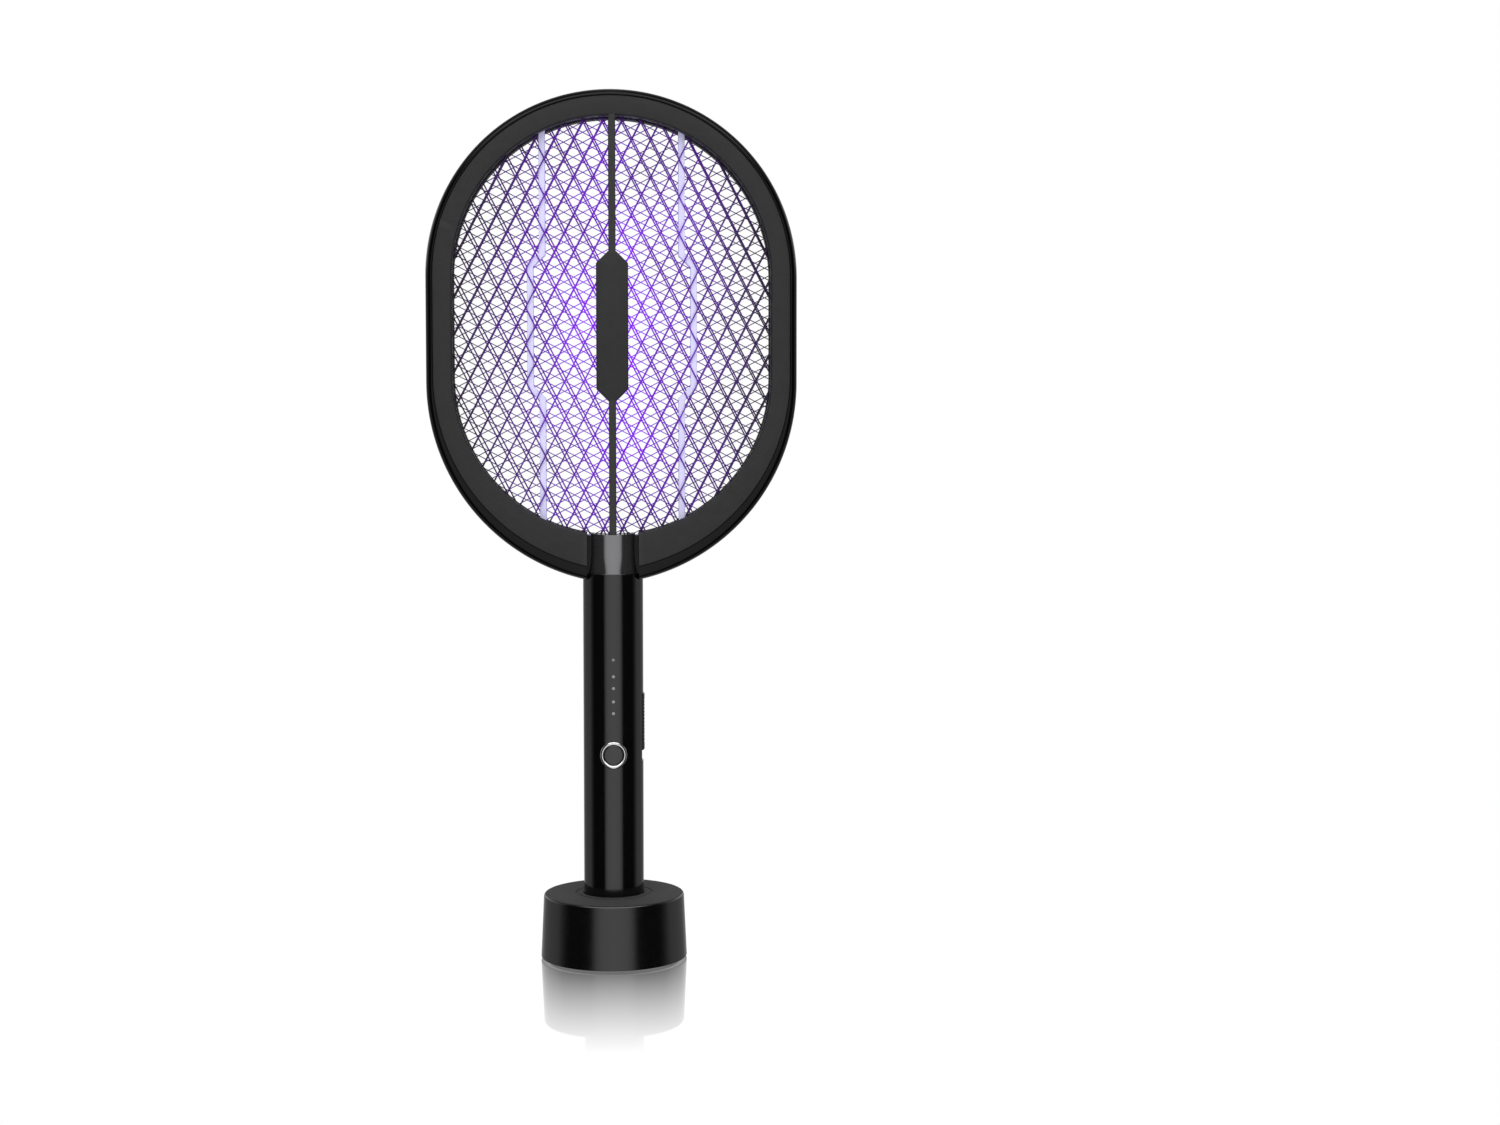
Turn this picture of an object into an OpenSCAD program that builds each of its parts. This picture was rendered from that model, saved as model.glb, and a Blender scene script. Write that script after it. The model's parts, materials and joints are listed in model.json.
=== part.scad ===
// Electric fly swatter standing in its charging base.
// Millimetres. The table is z = 0, the handle's axis is Z, and the face with the power button looks along -Y.

/* [Head] */
// Height of the middle of the wire opening above the table
head_z = 380; // [376:1:390]
// Width of the head across its glossy frame
head_w = 220; // [219:0.5:224]
// Width of the wire opening
open_w = 188.6; // [186:0.1:189]
// Height of the straight part of the opening's sides
straight_h = 59.2; // [54:0.2:62]
// Thickness of the head, front to back
head_t = 26; // [25.6:0.1:27]
// Width of the matte face ring at its sides
ring_w = 11.6; // [11.4:0.1:11.8]
// Width of the spine that crosses the opening
spine_w = 4.3; // [4:0.1:5]
// Width of the eight-sided lamp housing
lamp_w = 19; // [18.6:0.2:22]
// Height of the lamp housing
lamp_h = 88; // [86:1:94]

/* [Wire nets] */
// Width of one opening of a net, corner to corner
net_w = 11.4; // [10:0.2:13]
// Height of one opening of the outer nets
guard_h = 22; // [20:0.5:24]
// Height of one opening of the live net
live_h = 5.9; // [5.5:0.1:8]
// Width of an outer net's wires
guard_wire = 0.9; // [0.6:0.1:1]
// Width of the live net's wires
live_wire = 0.6; // [0.5:0.1:0.8]
// Distance from the live net's middle to each outer net's middle
net_gap = 4.5; // [4.3:0.1:4.7]

/* [Handle] */
// Diameter of the handle
handle_d = 36; // [35.8:0.1:37]
// Diameter of the neck
neck_d = 28; // [27:0.5:28]
// Height of the power button's centre
button_z = 125; // [122:1:128]
// Diameter of the chrome ring round the power button
button_d = 16.2; // [15:0.1:17]
// Travel of the power button
button_travel = 0.8; // [0.4:0.1:0.8]
// Length of the side trigger
trigger_len = 34.8; // [30:0.2:35]
// Travel of the side trigger
trigger_travel = 1.2; // [0.6:0.1:1.2]

/* [Base] */
// Diameter of the base at the table
base_d = 88; // [86:1:92]
// Diameter of the base at its top
base_top_d = 84.4; // [82.4:0.2:85]
// Height of the base
base_h = 39.4; // [37.4:0.2:42]
// Height of the socket's floor, where the handle stands
socket_z = 12; // [12:0.5:12.5]
// Radial gap between handle and socket
socket_gap = 0.3; // [0.25:0.05:0.5]

/* [Hidden] */
$fn = 96;
eps = 0.01;
fit = 0.15;
wall = 2;

// Head outline: a half circle on top, straight sides, and two arcs that meet in a point at the bottom
open_r = open_w / 2;
half_straight = straight_h / 2;
frame_r = head_w / 2;
frame_low = half_straight + 3.9;
taper = 10.2;
ring_r = open_r + ring_w;
half_t = head_t / 2;
face_d = half_t - 0.6;
seat_d = face_d - 3;
lining_w = 1.6;
rim_r = open_r + 4.5;
rim_w = 3.3;
block_r = rim_r + 2.2;

// Depths of the stack of nets and spacers, from the head's middle plane
wire_t = 0.7;
guard_face = net_gap + wire_t;
guard_back = net_gap - wire_t;
no_shift = [0, 0];
rear_shift = [0.85, 2.1];

// Neck and handle
seam_z = head_z - 147.2;
neck_r = neck_d / 2;
flare_r = neck_r + 2;
flare_h = 6;
handle_r = handle_d / 2;
inner_r = handle_r - wall;
spigot_z = seam_z - 14.8;
groove_h = 2;
slot_w = 31;

// Electronics in the handle
board_y = -5.6;
board_t = 1.6;
board_back = board_y + board_t;
board_lo = 106;
board_hi = 206;
switch_w = 6;
plunger_d = 3.4;
cell_d = 18.3;
cell_h = 65;
cell_z = 30;
light_z = [150, 157, 165, 172, 182];
light_d = 2;
trigger_mid = 143.5;
trigger_w = 10.6;
trigger_y = -0.9;
recess_z = 120;
wire_d = 1.2;
lamp_wire_d = 0.8;
lamp_wire_depth = 8.1;
screw_x = 11;
screw_zs = [101, 211];
board_screws = [[-8.5, 198], [8.5, 112]];

// Base
base_r = base_d / 2;
base_top_r = base_top_d / 2;
socket_r = handle_r + socket_gap;
edge_r = 1.8;
skirt_z = 1.2;
plate_z = 2;
plate_t = 2.5;
base_screw_r = 36.6;
pin_xs = [0, 7];
pin_travel = 1;
pin_d = 1.6;
flange_d = 2.8;
flange_z = socket_z - 2.4 - pin_travel;
flange_h = 0.8;
spring_z = 5.2;
usb_w = 8.94;
usb_h = 3.2;
usb_z = 10;

// ---- helpers ----

// Head work is drawn flat: x across, y up, and z towards the front. This stands it up in its place.
module in_head() {
    translate([0, 0, head_z]) rotate([90, 0, 0]) children();
}

// The opening's shape, two half circles joined by straight sides
module oval(r) {
    for (end = [0, 180])
        rotate(end) translate([0, half_straight]) intersection() {
            circle(r);
            translate([-r, 0]) square([2 * r, r]);
        }
    translate([-r, -half_straight]) square([2 * r, straight_h]);
}

// The head's outline, with half width r and lower arcs that start low below the middle
module outline(r, low) {
    translate([0, half_straight]) intersection() {
        circle(r);
        translate([-r, 0]) square([2 * r, r]);
    }
    translate([-r, -low]) square([2 * r, half_straight + low]);
    intersection() {
        translate([-taper, -low]) circle(r + taper);
        translate([taper, -low]) circle(r + taper);
        translate([-r, -low - 2 * r]) square([2 * r, 2 * r]);
    }
}

// A solid with the head's outline whose side follows edge, a list of [inset, depth] from back to front
module rounded_outline(r, low, edge) {
    back = edge[0][1];
    front = edge[len(edge) - 1][1];
    function side(reach) = [for (e = edge) [reach - e[0], e[1]]];
    function half(reach) = concat([[0, back]], side(reach), [[0, front]]);
    translate([0, half_straight, 0]) rotate_extrude(angle = 180) polygon(half(r));
    translate([0, half_straight, 0]) rotate([90, 0, 0]) linear_extrude(half_straight + low) union() {
        polygon(half(r));
        mirror([1, 0]) polygon(half(r));
    }
    for (way = [0, 1])
        mirror([way, 0, 0]) intersection() {
            translate([-taper, -low, 0]) rotate(-90) rotate_extrude(angle = 90) polygon(half(r + taper));
            translate([0, -low - 2 * r, back - 1]) cube([2 * r, 2 * r, front - back + 2]);
        }
}

// The lamp housing's eight-sided outline, drawn in by inset
module lamp_outline(inset) {
    corner = 7;
    x = lamp_w / 2 - inset;
    y = lamp_h / 2 - inset;
    cut = corner - 0.586 * inset;
    polygon([
        [x, y - cut], [x - cut, y], [cut - x, y], [-x, y - cut],
        [-x, cut - y], [cut - x, -y], [x - cut, -y], [x, cut - y]
    ]);
}

// Centres of the screws that clamp the head together
function head_screw_spots() = [
    for (a = [20, 65, 115, 160]) [102.6 * cos(a), half_straight + 102.6 * sin(a)],
    for (a = [-20, -62, -118, -160]) [102.6 * cos(a), -half_straight + 102.6 * sin(a)]
];

// The neck's outside, drawn out by grow, from below its spigot to above the opening's edge
module neck_body(grow) {
    z0 = spigot_z - seam_z;
    rotate_extrude() polygon([
        [0, z0], [inner_r - 0.2 + grow, z0], [inner_r - 0.2 + grow, 0], [flare_r + grow, 0],
        [neck_r + 0.7 + grow, flare_h * 0.4], [neck_r + grow, flare_h], [neck_r + grow, 30], [0, 30]
    ]);
}

// A closed tube through rings of points, sides points to a ring
module tube(points, sides) {
    rings = len(points) / sides;
    skin = [
        for (i = [0 : rings - 2], j = [0 : sides - 1]) let (k = (j + 1) % sides)
            [i * sides + j, (i + 1) * sides + j, (i + 1) * sides + k, i * sides + k]
    ];
    first = [for (j = [0 : sides - 1]) j];
    last = [for (j = [sides - 1 : -1 : 0]) (rings - 1) * sides + j];
    polyhedron(points, concat(skin, [first, last]));
}

// A wire along route, which never runs straight across the object
module wire(route, d) {
    sides = 8;
    last = len(route) - 1;
    function unit(v) = v / norm(v);
    function heading(i) = unit(route[min(i + 1, last)] - route[max(i - 1, 0)]);
    function spot(i, j) = let (
        a = 360 * j / sides,
        u = unit(cross(heading(i), [1, 0, 0]))
    ) route[i] + d / 2 * (u * cos(a) + cross(u, heading(i)) * sin(a));
    tube([for (i = [0 : last], j = [0 : sides - 1]) spot(i, j)], sides);
}

// A screw along +Z: head from z = 0 up to head_h, shank below it
module screw(head_d, head_h, shank_d, length) {
    difference() {
        cylinder(d = head_d, h = head_h, $fn = 32);
        for (turn = [0, 90])
            rotate(turn) translate([-head_d * 0.3, -0.3, head_h * 0.5]) cube([head_d * 0.6, 0.6, head_h]);
    }
    translate([0, 0, -length]) cylinder(d = shank_d, h = length + eps, $fn = 24);
}

// ---- head ----

// One half of the glossy frame, open towards the head's middle plane
module frame_half() {
    edge = [
        [0, 0], [0, half_t - 6.5], [0.5, half_t - 3.6],
        [1.5, half_t - 1.6], [2.9, half_t - 0.4], [4.1, half_t]
    ];
    difference() {
        rounded_outline(frame_r, frame_low, edge);
        translate([0, 0, seat_d]) linear_extrude(head_t) outline(ring_r + fit, half_straight);
        translate([0, 0, -1]) linear_extrude(head_t) oval(open_r + lining_w + fit);
        translate([0, 0, -1]) linear_extrude(guard_face + 1) oval(rim_r + fit);
        difference() {
            translate([0, 0, -1]) linear_extrude(seat_d - wall + 1) difference() {
                outline(frame_r - wall, frame_low);
                oval(block_r);
            }
            for (spot = head_screw_spots())
                translate([spot[0], spot[1], -2]) cylinder(d = 5.8, h = head_t, $fn = 32);
            translate([-slot_w / 2 - wall, -200, -2]) cube([slot_w + 2 * wall, 100, head_t]);
        }
        translate([0, seam_z - head_z, 0]) rotate([-90, 0, 0]) neck_body(fit);
        translate([-slot_w / 2, -200, 7]) cube([slot_w, 100, head_t]);
        translate([0, seam_z - head_z, 0]) rotate([90, 0, 0]) cylinder(r = handle_r + 0.2, h = 20);
    }
}

module head_front_shell() {
    color([0.03, 0.03, 0.035]) in_head() difference() {
        frame_half();
        for (spot = head_screw_spots())
            translate([spot[0], spot[1], -1]) cylinder(d = 2.5, h = 8.4, $fn = 24);
    }
}

module head_rear_shell() {
    color([0.03, 0.03, 0.035]) in_head() mirror([0, 0, 1]) difference() {
        frame_half();
        for (spot = head_screw_spots())
            translate([spot[0], spot[1], -1]) cylinder(d = 2.8, h = head_t, $fn = 24);
    }
}

// Matte ring with its lining, spine and lamp housing, seen from the front
module face_ring() {
    difference() {
        union() {
            translate([0, 0, seat_d]) linear_extrude(face_d - seat_d) difference() {
                outline(ring_r, half_straight);
                oval(open_r);
            }
            translate([0, 0, guard_face]) linear_extrude(face_d - guard_face) difference() {
                oval(open_r + lining_w);
                oval(open_r);
            }
        }
        translate([-slot_w / 2, -200, 0]) cube([slot_w, 100, head_t]);
    }
    spine_top = half_straight + open_r + lining_w / 2;
    difference() {
        union() {
            translate([-spine_w / 2, 1 - spine_top - lining_w, guard_face + 0.2])
                cube([spine_w, 2 * spine_top + lining_w - 1, face_d - guard_face - 0.4]);
            translate([0, 0, guard_face + 0.2]) linear_extrude(face_d - guard_face) lamp_outline(0);
        }
        translate([0, 0, guard_face]) linear_extrude(face_d - guard_face - 1.4) lamp_outline(1.4);
        translate([-1, -spine_top - 4, guard_face]) cube([2, spine_top, face_d - guard_face - 1.6]);
    }
}

module front_face_ring() {
    color([0.2, 0.2, 0.2]) in_head() {
        difference() {
            face_ring();
            for (x = [-lamp_w / 2 - 1, lamp_w / 2 - 1.5])
                translate([x, -35, guard_face]) cube([2.5, 70, face_d - guard_face - 1.6]);
        }
        for (y = [-34, 34]) translate([0, y, 8.8]) difference() {
            cylinder(d = 4, h = face_d - 9.2, $fn = 32);
            translate([0, 0, -1]) cylinder(d = 1.7, h = 2.6, $fn = 24);
        }
    }
}

module rear_face_ring() {
    color([0.2, 0.2, 0.2]) in_head() mirror([0, 0, 1]) difference() {
        face_ring();
        for (spot = head_screw_spots()) translate([spot[0], spot[1], 0]) {
            cylinder(d = 2.8, h = head_t, $fn = 24);
            translate([0, 0, face_d - 1.6]) cylinder(d = 5, h = 5, $fn = 32);
        }
    }
}

// One layer of parallel wires that lean by an angle and are moved by shift, held by half of the rim
module wire_layer(lean, pitch, width, shift) {
    linear_extrude(wire_t) {
        difference() {
            oval(rim_r);
            oval(rim_r - rim_w);
        }
        intersection() {
            oval(rim_r - 1);
            union() for (i = [-45 : 45])
                translate(shift) rotate(lean) translate([-200, i * pitch - width / 2]) square([400, width]);
        }
    }
}

// Two layers, face to face, whose wires cross in openings net_w wide and open_h high
module net(open_h, width, shift) {
    lean = atan2(open_h, net_w);
    pitch = net_w * sin(lean);
    wire_layer(lean, pitch, width, shift);
    translate([0, 0, -wire_t]) wire_layer(-lean, pitch, width, shift);
}

module front_net() {
    color([0.25, 0.22, 0.3]) in_head() translate([0, 0, net_gap]) net(guard_h, guard_wire, no_shift);
}

module live_net() {
    color([0.2, 0.18, 0.24]) in_head() net(live_h, live_wire, no_shift);
}

module rear_net() {
    color([0.25, 0.22, 0.3]) in_head() translate([0, 0, -net_gap]) net(guard_h, guard_wire, rear_shift);
}

// Insulating frame between two nets, with two ribs that step outwards beside the lamp
module spacer() {
    rib_w = 3.8;
    far_x = 41.4;
    near_x = 48.6;
    jog = [[far_x, 43.1], [near_x, 36.1]];
    end_y = half_straight + sqrt(pow(rim_r - 1, 2) - pow(far_x, 2)) - 1;
    linear_extrude(guard_back - wire_t) difference() {
        oval(rim_r);
        oval(rim_r - rim_w);
    }
    for (way = [0, 1]) mirror([way, 0, 0]) linear_extrude(guard_back - wire_t) polygon([
        [far_x - rib_w / 2, end_y], [far_x - rib_w / 2, jog[0][1]], [near_x - rib_w / 2, jog[1][1]],
        [near_x - rib_w / 2, -jog[1][1]], [far_x - rib_w / 2, -jog[0][1]], [far_x - rib_w / 2, -end_y],
        [far_x + rib_w / 2, -end_y], [far_x + rib_w / 2, -jog[0][1]], [near_x + rib_w / 2, -jog[1][1]],
        [near_x + rib_w / 2, jog[1][1]], [far_x + rib_w / 2, jog[0][1]], [far_x + rib_w / 2, end_y]
    ]);
}

module front_spacer() {
    color([0.82, 0.82, 0.92]) in_head() translate([0, 0, wire_t]) spacer();
}

module rear_spacer() {
    color([0.82, 0.82, 0.92]) in_head() mirror([0, 0, 1]) translate([0, 0, wire_t]) spacer();
}

module lamp_board() {
    color([0.85, 0.87, 0.85]) in_head() difference() {
        translate([-6, -38, 7.8]) cube([12, 76, 1]);
        for (y = [-34, 34]) translate([0, y, 7]) cylinder(d = 2.2, h = 3, $fn = 24);
    }
}

module uv_leds() {
    color([0.55, 0.3, 0.95]) in_head() for (way = [0, 1], y = [-27 : 9 : 27]) mirror([way, 0, 0])
        translate([4.2, y - 1.75, 8.8]) cube([3.4, 3.5, 1.6]);
}

module lamp_lenses() {
    color([0.45, 0.2, 0.85]) in_head() for (way = [0, 1]) mirror([way, 0, 0])
        translate([lamp_w / 2 - 1.3, -34.8, guard_face + 0.4]) cube([1.2, 69.6, face_d - guard_face - 2.2]);
}

module lamp_screws() {
    color([0.7, 0.7, 0.72]) in_head() for (y = [-34, 34])
        translate([0, y, 7.8]) rotate([180, 0, 0]) screw(3.4, 1.2, 1.6, 2.4);
}

module lamp_leads() {
    low_z = 202;
    high_z = head_z - 38.1;
    color([0.75, 0.1, 0.1]) for (x = [-0.5, 0.5]) translate([x, -lamp_wire_depth, low_z])
        cylinder(d = lamp_wire_d, h = high_z - low_z, $fn = 24);
}

module live_lead() {
    top = head_z - half_straight - rim_r - 0.1;
    color([0.8, 0.15, 0.1]) wire([[-4, 0, top], [-4, 0, 212], [-4, -3.3, 206], [-4, -3.3, 199]], wire_d);
}

module ground_leads() {
    top = head_z - half_straight - rim_r - 0.1;
    low = board_back + 0.7;
    color([0.1, 0.1, 0.1]) {
        wire([[4, -net_gap, top], [4, -net_gap, 214], [4, low, 207.5], [4, low, 199]], wire_d);
        wire([[4, net_gap, top], [4, net_gap, 222], [6.2, low, 207.5], [6.2, low, 199]], wire_d);
    }
}

module head_screws() {
    color([0.6, 0.6, 0.62]) in_head() mirror([0, 0, 1]) for (spot = head_screw_spots())
        translate([spot[0], spot[1], face_d - 1.6]) screw(4.6, 1.5, 2.4, face_d - 1.6 + 5);
}

module neck() {
    bore_r = 11.4;
    color([0.33, 0.33, 0.35]) difference() {
        translate([0, 0, seam_z]) neck_body(0);
        translate([0, 0, spigot_z - 1]) cylinder(r = bore_r, h = seam_z + 13.5 - spigot_z);
        // Top edge follows the opening
        in_head() translate([0, 0, -half_t * 2]) linear_extrude(head_t * 2) oval(open_r);
        // Seat for the nets' rims
        in_head() translate([0, 0, -guard_face - 0.1]) linear_extrude(2 * guard_face + 0.2) oval(rim_r + fit);
        // Notches for the ends of the two spines
        for (side = [-1, 1]) translate([0, side * (guard_face + face_d) / 2, seam_z + 22])
            cube([spine_w + 0.3, face_d - guard_face + 0.3, 7.4], center = true);
        // Wire ways
        for (spot = [[0, -lamp_wire_depth, 3], [-4, 0, 2.2], [4, -net_gap, 2.2], [4, net_gap, 2.2]])
            translate([spot[0], spot[1], seam_z]) cylinder(d = spot[2], h = 40, $fn = 32);
        // Groove that the handle's shells grip
        translate([0, 0, seam_z - 10]) rotate_extrude()
            translate([inner_r - 1.6, 0]) square([4, groove_h + 0.2]);
    }
}

// ---- handle ----

// Rings and ribs inside the handle's tube
module handle_ribs() {
    for (z = [seam_z - 9.9, 17.9]) translate([0, 0, z]) difference() {
        cylinder(r = inner_r + 0.5, h = groove_h);
        translate([0, 0, -1]) cylinder(r = inner_r - 1.4, h = groove_h + 2);
    }
    for (z = [42, 82]) translate([0, 0, z]) difference() {
        cylinder(r = inner_r + 0.5, h = groove_h);
        translate([0, 0, -1]) cylinder(d = cell_d + 0.4, h = groove_h + 2);
        for (y = [-12, 12]) translate([0, y, groove_h / 2]) cube([6, 4.4, 4], center = true);
    }
}

module handle_tube() {
    difference() {
        translate([0, 0, socket_z + 3]) cylinder(r = handle_r, h = seam_z - socket_z - 3);
        translate([0, 0, 0]) cylinder(r = inner_r, h = seam_z + 1);
    }
    handle_ribs();
}

// Keeps the half of a solid on the front (side = -1) or at the back (side = 1)
module half(side) {
    intersection() {
        children();
        translate([-50, side > 0 ? 0 : -50, 0]) cube([100, 50, 300]);
    }
}

module trigger_slot() {
    low = trigger_mid - trigger_len / 2 - 0.3;
    translate([10, -trigger_w / 2 - 0.2, low]) cube([20, trigger_w + 0.4, trigger_len + 0.6]);
    translate([handle_r - 0.9, -trigger_w / 2 - 0.2, recess_z]) cube([10, trigger_w + 0.4, 12]);
}

module screw_post(side, d, top) {
    for (x = [-screw_x, screw_x], z = screw_zs) translate([x, 0, z]) rotate([side * -90, 0, 0])
        cylinder(d = d, h = top, $fn = 32);
}

module handle_front_shell() {
    color([0.03, 0.03, 0.035]) difference() {
        union() {
            half(-1) handle_tube();
            intersection() {
                union() {
                    screw_post(-1, 6, 20);
                    for (s = board_screws) translate([s[0], board_y, s[1]]) rotate([90, 0, 0])
                        cylinder(d = 4.6, h = 12, $fn = 32);
                }
                cylinder(r = inner_r + 0.5, h = 300);
            }
        }
        screw_post(-1, 2.5, 8.6);
        for (s = board_screws) translate([s[0], board_y + 1, s[1]]) rotate([90, 0, 0])
            cylinder(d = 1.9, h = 6, $fn = 24);
        translate([0, -10, button_z]) rotate([90, 0, 0]) cylinder(d = button_d + 0.2, h = 20, $fn = 64);
        for (z = light_z) translate([0, -10, z]) rotate([90, 0, 0])
            cylinder(d = light_d + 0.2, h = 20, $fn = 32);
        trigger_slot();
    }
}

module handle_rear_shell() {
    color([0.03, 0.03, 0.035]) difference() {
        union() {
            half(1) handle_tube();
            intersection() {
                screw_post(1, 6, 20);
                cylinder(r = inner_r + 0.5, h = 300);
            }
        }
        screw_post(1, 2.8, 30);
        for (x = [-screw_x, screw_x], z = screw_zs) translate([x, 9, z]) rotate([-90, 0, 0])
            cylinder(d = 5, h = 20, $fn = 32);
        trigger_slot();
    }
}

module handle_screws() {
    color([0.6, 0.6, 0.62]) for (x = [-screw_x, screw_x], z = screw_zs)
        translate([x, 9, z]) rotate([-90, 0, 0]) screw(4.6, 1.8, 2.4, 17);
}

module button_ring() {
    flange_d = button_d + 2.4;
    bore = button_d - 3.9;
    color([0.75, 0.75, 0.77]) difference() {
        union() {
            intersection() {
                translate([0, -12.4, button_z]) rotate([90, 0, 0]) cylinder(d = button_d, h = 10, $fn = 64);
                cylinder(r = handle_r + 0.35, h = 200);
            }
            translate([0, -12, button_z]) rotate([90, 0, 0]) cylinder(d = flange_d, h = 0.8, $fn = 64);
        }
        translate([0, 0, button_z]) rotate([90, 0, 0]) cylinder(d = bore, h = 30, $fn = 64);
    }
}

module power_button() {
    cap_d = button_d - 4.3;
    color([0.06, 0.06, 0.065]) {
        intersection() {
            translate([0, -11.8, button_z]) rotate([90, 0, 0]) cylinder(d = cap_d, h = 10, $fn = 64);
            cylinder(r = handle_r - 0.1, h = 200);
        }
        translate([0, -10.9, button_z]) rotate([90, 0, 0]) cylinder(d = cap_d + 1.8, h = 1, $fn = 64);
        translate([0, -10.4, button_z]) rotate([90, 0, 0]) cylinder(d = 3, h = 0.6, $fn = 32);
    }
}

module power_switch() {
    tall = 3.5;
    color([0.12, 0.12, 0.12]) difference() {
        translate([-switch_w / 2, board_y - tall, button_z - switch_w / 2]) cube([switch_w, tall, switch_w]);
        translate([0, board_y - 1.6 + button_travel, button_z]) rotate([90, 0, 0])
            cylinder(d = plunger_d + 0.2, h = 10, $fn = 32);
    }
}

module power_plunger() {
    color([0.3, 0.3, 0.3]) translate([0, board_y - 1.8, button_z]) rotate([90, 0, 0])
        cylinder(d = plunger_d, h = 3, $fn = 32);
}

module light_guide() {
    bar_lo = light_z[0] - 4;
    bar_hi = light_z[len(light_z) - 1] + 4;
    color([0.92, 0.93, 0.95]) {
        translate([-2.2, -15.4, bar_lo]) cube([4.4, 1.2, bar_hi - bar_lo]);
        intersection() {
            union() for (z = light_z) translate([0, board_y - 1, z]) rotate([90, 0, 0])
                cylinder(d = light_d, h = 20, $fn = 32);
            cylinder(r = handle_r + 0.05, h = 300);
        }
    }
}

module indicator_leds() {
    color([0.9, 0.9, 0.8]) for (z = light_z) translate([-0.8, board_y - 0.7, z - 0.5]) cube([1.6, 0.7, 1]);
}

module side_trigger() {
    low = trigger_mid - trigger_len / 2;
    color([0.05, 0.05, 0.055]) {
        intersection() {
            translate([13.6, -trigger_w / 2, low]) cube([10, trigger_w, trigger_len]);
            cylinder(r = handle_r + 0.8, h = 200);
        }
        translate([12.9, -trigger_w / 2 - 1, low - 1]) cube([1.2, trigger_w + 2, trigger_len + 2]);
        translate([9.8, trigger_y, trigger_mid]) rotate([0, 90, 0]) cylinder(d = 3, h = 3.4, $fn = 32);
    }
}

module trigger_switch() {
    color([0.12, 0.12, 0.12]) difference() {
        translate([5, board_back, trigger_mid - switch_w / 2]) cube([3.5, switch_w, switch_w]);
        translate([6.8 - trigger_travel, trigger_y, trigger_mid]) rotate([0, 90, 0])
            cylinder(d = plunger_d + 0.2, h = 10, $fn = 32);
    }
}

module trigger_plunger() {
    color([0.3, 0.3, 0.3]) translate([6.9, trigger_y, trigger_mid]) rotate([0, 90, 0])
        cylinder(d = plunger_d, h = 2.9, $fn = 32);
}

module main_board() {
    color([0.05, 0.3, 0.15]) difference() {
        translate([-11, board_y, board_lo]) cube([22, board_t, board_hi - board_lo]);
        for (s = board_screws) translate([s[0], board_y - 1, s[1]]) rotate([-90, 0, 0])
            cylinder(d = 2.2, h = 4, $fn = 24);
    }
}

module board_screws() {
    color([0.6, 0.6, 0.62]) for (s = board_screws) translate([s[0], board_back, s[1]]) rotate([-90, 0, 0])
        screw(3.6, 1.4, 1.8, 6);
}

module lead_connector() {
    color([0.9, 0.9, 0.87]) translate([-3, board_y - 3.9, 196]) cube([6, 3.9, 6]);
}

module transformer_core() {
    color([0.18, 0.18, 0.19]) difference() {
        translate([-9, board_back, 174]) cube([18, 11, 16]);
        translate([-7, board_back - 1, 176.5]) cube([4.6, 13, 11]);
        translate([2.4, board_back - 1, 176.5]) cube([4.6, 13, 11]);
    }
}

module transformer_winding() {
    color([0.65, 0.35, 0.15]) difference() {
        translate([-6.6, board_back + 0.4, 176.9]) cube([13.2, 10.2, 10.2]);
        translate([-2.6, board_back - 1, 170]) cube([5.2, 13, 24]);
    }
}

module capacitors() {
    color([0.7, 0.15, 0.1]) for (x = [-10.6, -3.2]) translate([x, board_back, 153]) cube([6.4, 6, 13]);
}

module diodes() {
    color([0.1, 0.1, 0.1]) for (z = [156, 161, 166]) translate([4.6, board_back + 1.4, z]) rotate([0, 90, 0])
        cylinder(d = 2.6, h = 5.2, $fn = 32);
}

module battery_cell() {
    color([0.15, 0.35, 0.65]) translate([0, 0, cell_z]) {
        cylinder(d = cell_d, h = cell_h - 1);
        translate([0, 0, cell_h - 1]) cylinder(d = 6, h = 1, $fn = 48);
    }
}

module cell_tabs() {
    tab_t = 0.3;
    color([0.75, 0.75, 0.72]) {
        translate([-4, -7, cell_z - tab_t]) cube([8, 14, tab_t]);
        translate([-4, -7, cell_z + cell_h]) cube([8, 14, tab_t]);
    }
}

module cell_leads() {
    low = board_back + 0.7;
    top = cell_z + cell_h + 1;
    color([0.8, 0.1, 0.1]) {
        wire([[3, 3, top - 0.6], [3, 3, 99], [5, low, 107], [5, low, 115]], wire_d);
        wire([
            [0, -6.5, 29], [0, -11.9, 27.5], [0, -11.9, 98],
            [0, board_y - 0.7, 107], [0, board_y - 0.7, 112]
        ], wire_d);
    }
}

module charge_leads() {
    low = board_back + 0.7;
    color([0.1, 0.1, 0.1]) for (x = [-1.6, 1.6])
        wire([
            [x, 0, 17.2], [x, 3, 22], [x, 11.9, 26.5],
            [x, 11.9, 98], [x * 2 - 3, low, 108], [x * 2 - 3, low, 113]
        ], wire_d);
}

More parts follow.
